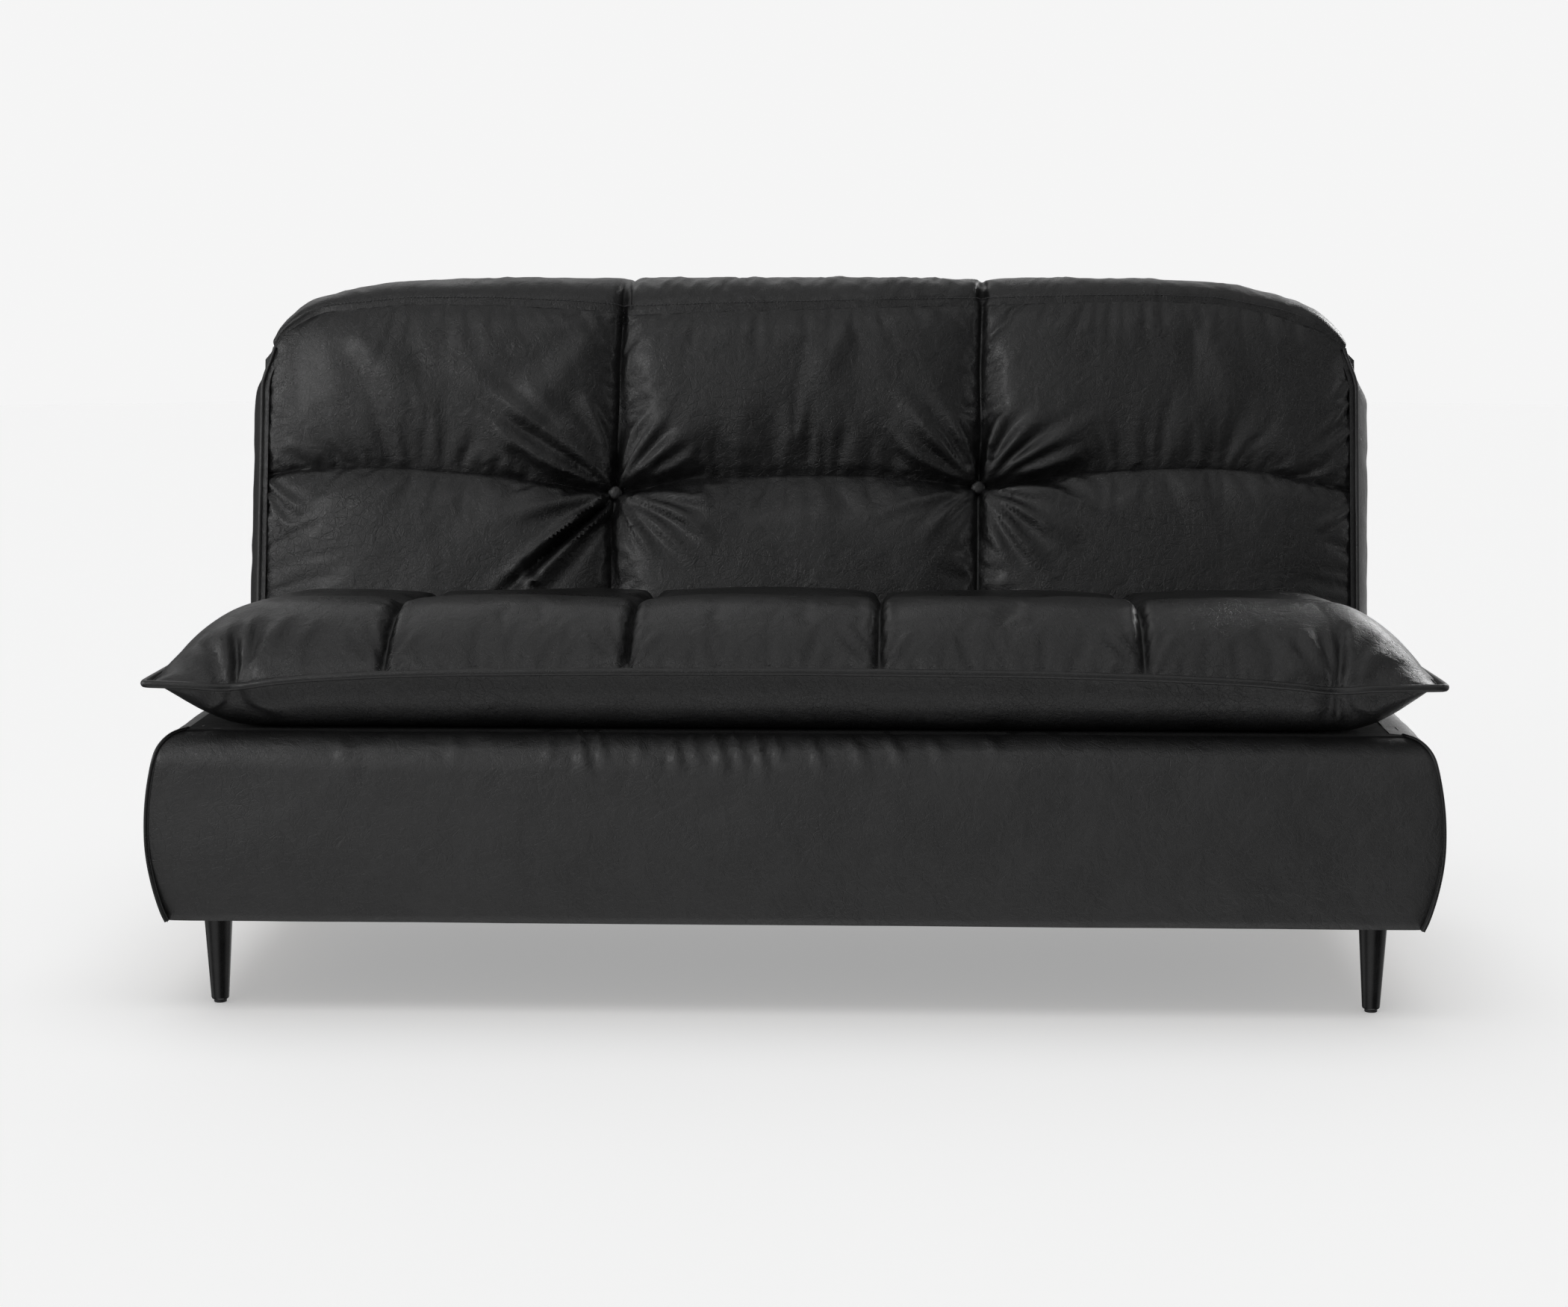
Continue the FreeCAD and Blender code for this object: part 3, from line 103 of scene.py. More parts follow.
def noise(a, b, seed):
    """Smooth noise from about -1 to 1 on a plane with cells of 1 by 1."""
    lattice = np.random.default_rng(seed).uniform(-1, 1, (128, 128))
    i, j = np.floor(a).astype(int), np.floor(b).astype(int)
    f, g = smooth(a - i), smooth(b - j)

    def at(p, q):
        return lattice[(i + p) % 128, (j + q) % 128]

    return (at(0, 0) * (1 - f) + at(1, 0) * f) * (1 - g) + (at(0, 1) * (1 - f) + at(1, 1) * f) * g


def ripple(a, b, length_a, length_b, turn, seed):
    """Two octaves of noise with cells length_a by length_b, turned by turn degrees."""
    c, s = math.cos(math.radians(turn)), math.sin(math.radians(turn))
    p, q = (a * c + b * s) / length_a, (b * c - a * s) / length_b
    return noise(p + 31.3, q + 17.7, seed) + 0.45 * noise(p * 2.1 + 7.1, q * 2.1 + 3.3, seed + 1)


def bend(points, times=3):
    """Corner cutting: the polyline as a smooth one with the same ends."""
    p = np.array(points, float)
    for _ in range(times):
        a, b = p[:-1] * 0.75 + p[1:] * 0.25, p[:-1] * 0.25 + p[1:] * 0.75
        p = np.concatenate([p[:1], np.stack([a, b], 1).reshape(-1, p.shape[1]), p[-1:]])
    return p


def folds(a, b, strokes):
    """Height of folds at the places a, b. A stroke is a height, a width and then the two numbers of each of its
    points: a ridge between two hollows along the points, narrow where it starts and fading where it ends."""
    total = np.zeros_like(a)
    for height, width, *points in strokes:
        p = bend(np.reshape(points, (-1, 2)))
        away = 4.5 * width
        near = (a > p[:, 0].min() - away) & (a < p[:, 0].max() + away)
        near &= (b > p[:, 1].min() - away) & (b < p[:, 1].max() + away)
        if not near.any():
            continue
        x, y = a[near], b[near]
        step = np.diff(p, axis=0)
        size = np.hypot(step[:, 0], step[:, 1])
        run = np.concatenate([[0.0], np.cumsum(size)])
        best, along, side = np.full(x.shape, 1e9), np.zeros(x.shape), np.ones(x.shape)
        for k in range(len(step)):
            t = np.clip(((x - p[k, 0]) * step[k, 0] + (y - p[k, 1]) * step[k, 1]) / size[k] ** 2, 0, 1)
            dx, dy = x - p[k, 0] - t * step[k, 0], y - p[k, 1] - t * step[k, 1]
            d = np.hypot(dx, dy)
            closer = d < best
            best[closer] = d[closer]
            along[closer] = (run[k] + t * size[k])[closer]
            side[closer] = np.where(step[k, 0] * dy - step[k, 1] * dx > 0, 1.0, -1.0)[closer]
        t = along / run[-1]
        s = best * side / (width * (0.5 + 0.8 * t))
        shape = bell(s, 1) - 0.42 * bell(s - 1.7, 1) - 0.42 * bell(s + 1.7, 1)
        total[near] += height * shape * smooth(0.35 + t / 0.12) * (1 - smooth((t - 0.35) / 0.65))
    return total


# ---- meshes

def xyz(x, y, z):
    return np.stack(np.broadcast_arrays(x, y, z), -1)


def back_place(x, u, w):
    """Points of the back's own axes in the model's axes."""
    c, s = math.cos(LEAN), math.sin(LEAN)
    return xyz(x, HINGE[1] + u * s - w * c, HINGE[2] + u * c + w * s)


def grid_faces(rows, columns, start=0):
    i, j = np.meshgrid(np.arange(rows - 1), np.arange(columns - 1), indexing="ij")
    a = (start + i * columns + j).ravel()
    return np.stack([a, a + 1, a + columns + 1, a + columns], 1)


def rim(rows, columns):
    """The border of a grid as one loop of vertex numbers."""
    top = np.arange(columns)
    right = np.arange(1, rows) * columns + columns - 1
    bottom = (rows - 1) * columns + np.arange(columns - 2, -1, -1)
    left = np.arange(rows - 2, 0, -1) * columns
    return np.concatenate([top, right, bottom, left])


def placed(name, data):
    """A scene object that shows data."""
    thing = bpy.data.objects.new(name, data)
    bpy.context.scene.collection.objects.link(thing)
    return thing


def make(name, points, faces, material, weld=0.0):
    """A smooth piece with its sharp edges kept, from points in millimetres."""
    mesh = bpy.data.meshes.new(name)
    places = (np.asarray(points).reshape(-1, 3) * MM).tolist()
    mesh.from_pydata(places, [], [list(map(int, face)) for face in faces])
    bm = bmesh.new()
    bm.from_mesh(mesh)
    if weld:
        bmesh.ops.remove_doubles(bm, verts=bm.verts, dist=weld * MM)
        bmesh.ops.dissolve_degenerate(bm, edges=bm.edges, dist=0.2 * weld * MM)
    bmesh.ops.recalc_face_normals(bm, faces=bm.faces)
    bm.to_mesh(mesh)
    bm.free()
    mesh.polygons.foreach_set("use_smooth", [True] * len(mesh.polygons))
    mesh.set_sharp_from_angle(angle=SHARP)
    mesh.materials.append(material)
    return placed(name, mesh)


def walls(outer, inner):
    """Faces between two loops of vertex numbers."""
    return np.stack([outer, np.roll(outer, -1), np.roll(inner, -1), inner], 1).tolist()


def layer(outer, inner):
    """Points and faces of a closed sheet between two grids of the same shape."""
    rows, columns = outer.shape[:2]
    count = rows * columns
    edge = rim(rows, columns)
    faces = grid_faces(rows, columns).tolist() + grid_faces(rows, columns, count)[:, ::-1].tolist()
    faces += walls(edge, edge + count)
    return np.concatenate([outer.reshape(-1, 3), inner.reshape(-1, 3)]), faces


def skin(name, outer, inner, material):
    return make(name, *layer(outer, inner), material)


def backed(name, front, back_rim, material):
    """A closed pad: a grid in front, sides from its border to back_rim, and one flat face behind."""
    rows, columns = front.shape[:2]
    count, edge = rows * columns, rim(rows, columns)
    ring = count + np.arange(len(edge))
    faces = grid_faces(rows, columns).tolist() + walls(edge, ring) + [ring.tolist()]
    return make(name, np.concatenate([front.reshape(-1, 3), back_rim]), faces, material)


def surface_normals(grid):
    n = np.cross(np.gradient(grid, axis=1), np.gradient(grid, axis=0))
    return n / np.maximum(np.linalg.norm(n, axis=-1, keepdims=True), 1e-9)


def ring_faces(rings, sides, closed=False):
    """Faces of a shape made of rings of points, with flat ends or closed into a loop."""
    faces = []
    for i in range(rings if closed else rings - 1):
        k = (i + 1) % rings
        for j in range(sides):
            m = (j + 1) % sides
            faces.append((i * sides + j, i * sides + m, k * sides + m, k * sides + j))
    if not closed:
        faces += [tuple(range(sides)), tuple(range((rings - 1) * sides, rings * sides))]
    return faces


def tube(path, radius, sides=10, closed=False):
    """Points and faces of a round cord along path."""
    path = np.asarray(path, float)
    if closed:
        ahead = np.roll(path, -1, 0) - np.roll(path, 1, 0)
    else:
        ahead = np.gradient(path, axis=0)
    ahead = unit(ahead)
    up = np.array([0.0, 0.0, 1.0]) if abs(ahead[:, 2]).mean() < 0.7 else np.array([0.0, 1.0, 0.0])
    across = unit(np.cross(ahead, up))
    third = np.cross(across, ahead)
    angle = np.linspace(0, 2 * np.pi, sides, endpoint=False)
    radius = np.broadcast_to(radius, len(path))[:, None, None]
    ring = across[:, None] * np.cos(angle)[None, :, None] + third[:, None] * np.sin(angle)[None, :, None]
    points = (path[:, None] + ring * radius).reshape(-1, 3)
    return points, ring_faces(len(path), sides, closed)


def joined(parts):
    """Several (points, faces) as one."""
    points, faces, start = [], [], 0
    for p, f in parts:
        points.append(p)
        faces += [tuple(start + k for k in face) for face in f]
        start += len(p)
    return np.concatenate(points), faces


def resample(path, pitch):
    path = np.asarray(path, float)
    run = np.concatenate([[0.0], np.cumsum(np.linalg.norm(np.diff(path, axis=0), axis=1))])
    at = np.linspace(0, run[-1], max(2, int(round(run[-1] / pitch)) + 1))
    return np.stack([np.interp(at, run, path[:, k]) for k in range(3)], 1)


def stitches(path, out, pitch=5.6, length=4.0, radius=0.5):
    """A row of stitches along path: each a short thread that dives into the leather at both ends."""
    dense = resample(path, pitch)
    along = (np.array([-0.5, -0.3, 0.3, 0.5]) * length)[:, None]
    lift = np.array([-0.6, 0.35, 0.35, -0.6])[:, None]
    ahead = unit(np.gradient(dense, axis=0))
    return joined([tube(at + way * along + out * lift, radius, 6) for at, way in zip(dense, ahead)])


PRESSURE = 4.0
BENDING = 0.3
CLOTH_FRAMES = 20


def settle(grid, tight, growth, cap):
    """The grid as stuffed cloth: a little larger than its place, blown outwards, held at its border and
    where tight, with no point moved more than about cap."""
    rows, columns = grid.shape[:2]
    held = tight.copy()
    held[[0, -1]] = True
    held[:, [0, -1]] = True
    mesh = bpy.data.meshes.new("settling")
    mesh.from_pydata((grid.reshape(-1, 3) * MM).tolist(), [], grid_faces(rows, columns).tolist())
    sheet = placed("settling", mesh)
    sheet.vertex_groups.new(name="held").add(np.nonzero(held.ravel())[0].tolist(), 1.0, "REPLACE")
    cloth = sheet.modifiers.new("cloth", "CLOTH")
    cloth.settings.vertex_group_mass = "held"
    cloth.settings.use_pressure = True
    cloth.settings.uniform_pressure_force = PRESSURE
    cloth.settings.effector_weights.gravity = 0.0
    cloth.settings.shrink_min = -growth
    cloth.settings.bending_stiffness = BENDING
    cloth.point_cache.frame_end = CLOTH_FRAMES
    for step in range(1, CLOTH_FRAMES + 1):
        bpy.context.scene.frame_set(step)
    settled = np.empty(rows * columns * 3)
    blown = sheet.evaluated_get(bpy.context.evaluated_depsgraph_get())
    blown.data.vertices.foreach_get("co", settled)
    bpy.data.objects.remove(sheet)
    bpy.data.meshes.remove(mesh)
    bpy.context.scene.frame_set(1)
    moved = settled.reshape(grid.shape) / MM - grid
    far = np.maximum(np.linalg.norm(moved, axis=-1, keepdims=True), 1e-6)
    return grid + moved * cap * np.tanh(far / cap) / far


# ---- materials

class Nodes:
    """A node tree under construction. A socket is set to a number, or linked where the value is a socket."""

    def __init__(self, tree):
        tree.nodes.clear()
        self.tree = tree

    def add(self, kind, **settings):
        node = self.tree.nodes.new("ShaderNode" + kind)
        for name, value in settings.items():
            setattr(node, name, value)
        return node

    def set(self, socket, value):
        if hasattr(value, "is_output"):
            self.tree.links.new(value, socket)
        else:
            socket.default_value = value

    def feed(self, node, *values):
        """Set the node's inputs in order, and give its first output."""
        for socket, value in zip(node.inputs, values):
            self.set(socket, value)
        return node.outputs[0]

    def vector(self, what, a, b):
        return self.feed(self.add("VectorMath", operation=what), a, b)

    def math(self, what, a, b=0.0):
        return self.feed(self.add("Math", operation=what), a, b)

    def range(self, value, low, high, to_low=0.0, to_high=1.0):
        return self.feed(self.add("MapRange", interpolation_type="SMOOTHSTEP"), value, low, high, to_low, to_high)


class Finish(Nodes):
    """A surface material."""

    def __init__(self, name, **shader):
        self.material = bpy.data.materials.new(name)
        self.material.use_nodes = True
        super().__init__(self.material.node_tree)
        self.shader = self.add("BsdfPrincipled")
        self.set(self.add("OutputMaterial").inputs["Surface"], self.shader.outputs[0])
        for socket, value in shader.items():
            self.shader.inputs[socket.replace("_", " ")].default_value = value
        self.place = self.add("TexCoord").outputs["Object"]

    def noise(self, scale, detail=4.0, rough=0.55, twist=0.0, at=None, output="Fac"):
        n = self.add("TexNoise")
        self.set(n.inputs["Vector"], at or self.place)
        for socket, value in (("Scale", scale), ("Detail", detail), ("Roughness", rough), ("Distortion", twist)):
            n.inputs[socket].default_value = value
        return n.outputs[output]

    def cells(self, scale, at=None, feature="DISTANCE_TO_EDGE"):
        n = self.add("TexVoronoi", feature=feature)
        self.set(n.inputs["Vector"], at or self.place)
        n.inputs["Scale"].default_value = scale
        return n.outputs["Distance"]

    def moved(self, amount, scale):
        """The place, pushed about by noise."""
        push = self.vector("SUBTRACT", self.noise(scale, 3.0, 0.5, output="Color"), (0.5, 0.5, 0.5))
        return self.vector("ADD", self.place, self.vector("MULTIPLY", push, (amount, amount, amount)))

    def stretched(self, factors):
        return self.vector("MULTIPLY", self.place, factors)

    def mix(self, fac, a, b):
        n = self.add("Mix", data_type="RGBA")
        self.set(n.inputs["Factor"], fac)
        self.set(n.inputs[6], (*a, 1) if isinstance(a, tuple) else a)
        self.set(n.inputs[7], (*b, 1) if isinstance(b, tuple) else b)
        return n.outputs[2]

    def bump(self, height, metres):
        """Bumps of that height in metres, on top of any already there."""
        n = self.add("Bump")
        n.inputs["Strength"].default_value = 1.0
        n.inputs["Distance"].default_value = metres
        self.set(n.inputs["Height"], height)
        if self.shader.inputs["Normal"].links:
            self.set(n.inputs["Normal"], self.shader.inputs["Normal"].links[0].from_socket)
        self.set(self.shader.inputs["Normal"], n.outputs[0])

    def colour(self, fac, a, b):
        """The surface's colour: a where fac is 0, b where it is 1."""
        self.set(self.shader.inputs["Base Color"], self.mix(fac, a, b))

    def rough(self, value):
        self.set(self.shader.inputs["Roughness"], value)

    def plus(self, value, extra, share):
        """value with a share of extra on top."""
        return self.math("ADD", value, self.math("MULTIPLY", extra, share))


def leather(name, dark, light, rough_low, rough_high, creases=1.0, specular=0.5):
    """Coated black leather: fine pebble grain, hairline creases in patches, soft dents and uneven gloss."""
    f = Finish(name, Specular_IOR_Level=specular, Coat_Weight=0.1, Coat_Roughness=0.22)
    pushed = f.moved(0.005, 26.0)
    patches = f.range(f.noise(7.0, 3.0), 0.42, 0.66)
    hair = f.math("MULTIPLY", f.range(f.cells(72.0, pushed), 0.0, 0.055, 1.0, 0.0), patches)
    hair_small = f.range(f.cells(170.0, pushed), 0.0, 0.09, 1.0, 0.0)
    grain = f.range(f.cells(820.0), 0.0, 0.32)
    wear = f.noise(11.0, 5.0, 0.6, 0.4)
    f.bump(f.noise(9.0, 2.0, 0.5, 0.3), 0.0045)
    f.bump(f.noise(42.0, 5.0, 0.6, 0.9), 0.0018 * creases)
    f.bump(f.plus(hair, hair_small, 0.5), -0.00025 * creases)
    f.bump(grain, 0.00012)
    f.colour(f.plus(f.range(wear, 0.3, 0.72, 0.0, 0.8), hair, 0.12), dark, light)
    f.rough(f.plus(f.range(wear, 0.28, 0.74, rough_low, rough_high), hair, 0.08))
    return f.material


def thread(name):
    f = Finish(name, Roughness=0.6, Sheen_Weight=0.15)
    f.colour(f.noise(900.0, 2.0), (0.018, 0.018, 0.019), (0.045, 0.045, 0.047))
    f.bump(f.noise(2600.0, 1.0), 0.0001)
    return f.material


def woven(name, dark, light, pitch):
    """Plain woven cloth whose threads run along x and y."""
    f = Finish(name, Sheen_Weight=0.04, Specular_IOR_Level=0.15)
    part = f.add("SeparateXYZ")
    f.feed(part, f.place)
    turn = 2 * math.pi / pitch
    warp = f.math("SINE", f.math("MULTIPLY", f.math("ADD", part.outputs[0], part.outputs[2]), turn))
    weft = f.math("SINE", f.math("MULTIPLY", part.outputs[1], turn))
    weave = f.math("MULTIPLY", warp, weft)
    f.colour(f.range(f.math("ADD", weave, f.noise(260.0, 3.0)), -0.8, 1.6), dark, light)
    f.rough(f.range(f.noise(60.0), 0.3, 0.7, 0.78, 0.95))
    f.bump(weave, 0.0002)
    return f.material


def wood(name):
    """Planed pine: long grain along x with rings and a few darker streaks."""
    f = Finish(name, Specular_IOR_Level=0.35)
    along = f.stretched((1.2, 14.0, 14.0))
    rings = f.noise(3.2, 5.0, 0.6, 1.2, along)
    fibres = f.noise(26.0, 6.0, 0.7, 0.0, f.stretched((0.6, 22.0, 22.0)))
    tone = f.mix(f.range(rings, 0.35, 0.7), (0.52, 0.33, 0.17), (0.70, 0.50, 0.29))
    f.colour(f.range(fibres, 0.55, 0.8, 0.0, 0.55), tone, (0.36, 0.20, 0.09))
    f.rough(f.range(fibres, 0.3, 0.7, 0.5, 0.72))
    f.bump(fibres, 0.0003)
    return f.material


def foam(name):
    """Open-cell upholstery foam."""
    f = Finish(name, Roughness=0.95, Specular_IOR_Level=0.2, Subsurface_Weight=0.05)
    pores = f.cells(420.0, feature="F1")
    f.colour(f.range(pores, 0.1, 0.7), (0.46, 0.41, 0.27), (0.72, 0.66, 0.48))
    f.bump(f.math("ADD", pores, f.noise(40.0)), 0.0006)
    return f.material


def metal(name, dark, light, rough_low, rough_high, streak):
    """Plated or lacquered metal with faint rubbing along z."""
    f = Finish(name, Metallic=1.0 if streak else 0.0, Coat_Weight=0.1, Coat_Roughness=0.2)
    marks = f.noise(60.0, 4.0, 0.6, 0.0, f.stretched((9.0, 9.0, 1.0)))
    f.colour(f.range(f.noise(35.0), 0.3, 0.7), dark, light)
    f.rough(f.range(marks, 0.3, 0.7, rough_low, rough_high))
    f.bump(marks, 0.00006)
    return f.material


def moulded(name, dark, light, rough_low, rough_high):
    """Moulded nylon or rubber with a fine spark-eroded texture."""
    f = Finish(name, Specular_IOR_Level=0.4)
    f.colour(f.noise(90.0), dark, light)
    f.rough(f.range(f.noise(140.0), 0.3, 0.7, rough_low, rough_high))
    f.bump(f.noise(900.0, 2.0), 0.00012)
    return f.material


LEATHER = leather("leather_face", (0.003, 0.003, 0.0032), (0.007, 0.007, 0.0073), 0.26, 0.38)
LEATHER_BASE = leather("leather_base", (0.009, 0.009, 0.0092), (0.015, 0.015, 0.0153), 0.38, 0.50, 0.9, 0.66)
LEATHER_CORD = leather("leather_cord", (0.004, 0.004, 0.0042), (0.009, 0.009, 0.0093), 0.26, 0.36, 0.3)
THREAD = thread("stitching_thread")
LEG_BLACK = ((0.003, 0.003, 0.0032), (0.007, 0.007, 0.0072))
FINISHES = {
    "black_leather": LEATHER,
    "foam": foam("foam_yellow"),
    "black_cloth": woven("lining_cloth", (0.004, 0.004, 0.0042), (0.013, 0.013, 0.0135), 0.0018),
    "pine": wood("pine_board"),
    "black_leg": metal("leg_lacquer", *LEG_BLACK, 0.18, 0.30, False),
    "zinc_steel": metal("zinc_plating", (0.55, 0.56, 0.58), (0.74, 0.75, 0.77), 0.28, 0.42, True),
    "black_nylon": moulded("glide_nylon", (0.010, 0.010, 0.011), (0.02, 0.02, 0.021), 0.45, 0.6),
    "black_rubber": moulded("bumper_rubber", (0.012, 0.012, 0.012), (0.024, 0.024, 0.024), 0.65, 0.85),
}
for part in frame["record"]["subparts"]:
    node = nodes[part["node"]]
    for k in range(max(1, len(node.material_slots))):
        if not node.material_slots:
            node.data.materials.append(None)
        node.material_slots[k].material = FINISHES[part["material_slot"]]


# ---- camera, floor, light

camera = placed("camera", bpy.data.cameras.new("camera"))
camera.data.sensor_width = 36.0
camera.data.lens = 72.0
camera.location = (0.129, -4.1825, 0.966)
camera.rotation_euler = (math.radians(90 - 7.68), 0.0, math.radians(2.07))
bpy.context.scene.camera = camera
bpy.context.scene.view_settings.view_transform = "Standard"

# The camera sees a plain pale surround. The sofa sees a dim studio with a broad pale wall in front of it and soft
# glows, each a direction, the angles where it is full and where it ends, and its radiance.
BACKDROP = 0.915
AMBIENT = 0.05
GLOWS = [
    ((-0.42, -0.9, 0.03), 6, 50, 0.55),
    ((0.0, -0.25, -1.0), 14, 42, 0.90),
    ((0.0, -0.2, 1.0), 20, 44, 0.60),
    ((-0.5, 1.0, 0.9), 12, 28, 0.8),
    ((0.4, 1.0, 0.03), 6, 50, 0.55),
    ((1.0, 0.1, 0.1), 8, 42, 0.35),
    ((-1.0, 0.1, 0.1), 8, 42, 0.45),
]

floor_mesh = bpy.data.meshes.new("floor")
bm = bmesh.new()
bmesh.ops.create_circle(bm, cap_ends=True, segments=96, radius=14.0)
bm.to_mesh(floor_mesh)
bm.free()
floor = placed("floor", floor_mesh)
pale = Finish("pale_floor", Roughness=0.9, Specular_IOR_Level=0.1, Emission_Strength=1.0)
pale.colour(pale.noise(0.8, 2.0), (0.79, 0.79, 0.79), (0.80, 0.80, 0.80))
pale.shader.inputs["Emission Color"].default_value = (0.345, 0.345, 0.345, 1)
floor_mesh.materials.append(pale.material)
floor.visible_glossy = False
floor.visible_shadow = False

world = bpy.data.worlds.new("studio")
bpy.context.scene.world = world
world.use_nodes = True
studio = Nodes(world.node_tree)
sky = studio.add("Background")
studio.set(studio.add("OutputWorld").inputs["Surface"], sky.outputs[0])
heading = studio.add("TexCoord").outputs["Generated"]


def glow(towards, inner, outer, radiance):
    """Light from the part of the sky within outer degrees of a direction, full within inner degrees."""
    dot = studio.add("VectorMath", operation="DOT_PRODUCT")
    studio.feed(dot, heading, np.array(towards, float) / np.linalg.norm(towards))
    limits = math.cos(math.radians(outer)), math.cos(math.radians(inner))
    return studio.range(dot.outputs["Value"], *limits, 0.0, radiance)


level = AMBIENT
for patch in GLOWS:
    level = studio.math("ADD", level, glow(*patch))
seen = studio.add("Mix")
studio.set(seen.inputs["Factor"], studio.add("LightPath").outputs["Is Camera Ray"])
studio.set(seen.inputs["A"], level)
studio.set(seen.inputs["B"], BACKDROP)
studio.feed(sky, (1, 1, 1, 1), seen.outputs["Result"])

off_floor = bpy.data.collections.new("lit_by_boxes")
off_floor.objects.link(floor)
off_floor.collection_objects[0].light_linking.link_state = "EXCLUDE"
floor_only = bpy.data.collections.new("lit_from_above")
floor_only.objects.link(floor)
above = placed("above", bpy.data.lights.new("above", "SUN"))
above.data.energy = 1.00
above.data.angle = math.radians(60)
above.light_linking.receiver_collection = floor_only


def softbox(name, place, aim, width, length, radiance):
    """A rectangular soft light on the sofa alone, so that the floor stays even."""
    light = bpy.data.lights.new(name, "AREA")
    light.shape = "RECTANGLE"
    light.size, light.size_y = width, length
    light.energy = radiance * math.pi * width * length
    lamp = placed(name, light)
    lamp.location = place
    away = np.array(place, float) - np.array(aim, float)
    lamp.rotation_euler = (math.atan2(math.hypot(away[0], away[1]), away[2]), 0.0, math.atan2(away[0], -away[1]))
    lamp.light_linking.receiver_collection = off_floor


softbox("key_left", (-2.3, -2.7, 2.05), (0.0, -0.1, 0.5), 1.0, 1.0, 8.0)
softbox("side_left", (-3.0, -0.4, 1.2), (0.0, 0.0, 0.6), 0.9, 1.2, 4.5)
softbox("side_right", (3.0, -0.9, 1.3), (0.0, 0.0, 0.6), 0.7, 1.2, 2.2)
softbox("key_rear", (2.4, 2.8, 2.0), (0.0, 0.3, 0.5), 1.1, 1.1, 8.0)
softbox("over_front", (-0.3, -1.7, 2.9), (0.0, 0.0, 0.45), 1.8, 0.5, 1.1)


# ---- back

FACE_HALF = 770.0
FACE_LOW = -72.0
BUTTONS = ((-270.0, 200.0), (243.5, 209.0))
left_seam = line_through(
    9, -72, -272, 50, -272, 146, -275, 200, -270, 324, -264, 377, -264, 455, -260, 506, -247, 560, -247
)
right_seam = line_through(
    12, -72, 242, 57, 242, 209, 243.5, 275, 247, 372, 245, 508, 249, 560, 249
)
level_seam = line_through(
    13, -770, 222, -705, 231, -590, 233, -432, 221, -320, 206, -270, 200, -225, 208, -170, 219, -8, 224, 112, 223,
    200, 214, 243, 209, 290, 214, 374, 227, 534, 235, 634, 231, 753, 207, 770, 203
)
stitch_line = line_through(
    12, -775, 380, -757, 402, -745, 420, -715, 440, -686, 453, -563, 464, -432, 463, -300, 456, -243, 450, -120,
    454, 23, 458, 247, 465, 479, 469, 579, 466, 660, 450, 723, 428, 745, 413, 757, 402, 775, 382
)
crest_line = line_through(
    9, -775, 408, -757, 424, -745, 452, -710, 481, -649, 500, -583, 510, -500, 515, -380, 518, 250, 518, 430, 516,
    523, 513, 612, 505, 689, 486, 725, 466, 748, 440, 757, 424, 775, 408
)
SEAM_X = (-268.0, 245.0)
SEAM_U = 222.0
TOP_U = 460.0
BELLY = 95.0
REAR_W = -63.0
REAR_SEAMS = (-256.0, 249.0)
CREST_U = 495.0
BAND_HALF = 757.0
REAR_HALF = 764.0
GUSSET_W = (84.0, 147.0)
GUSSET_LOW = ((-63, 46, 60, 84), (-46, -65, -60, -45))
HINGE_GAP = (655.5, 688.5)
HINGE_MARKS = (-HINGE_GAP[1], -HINGE_GAP[0], HINGE_GAP[0], HINGE_GAP[1])
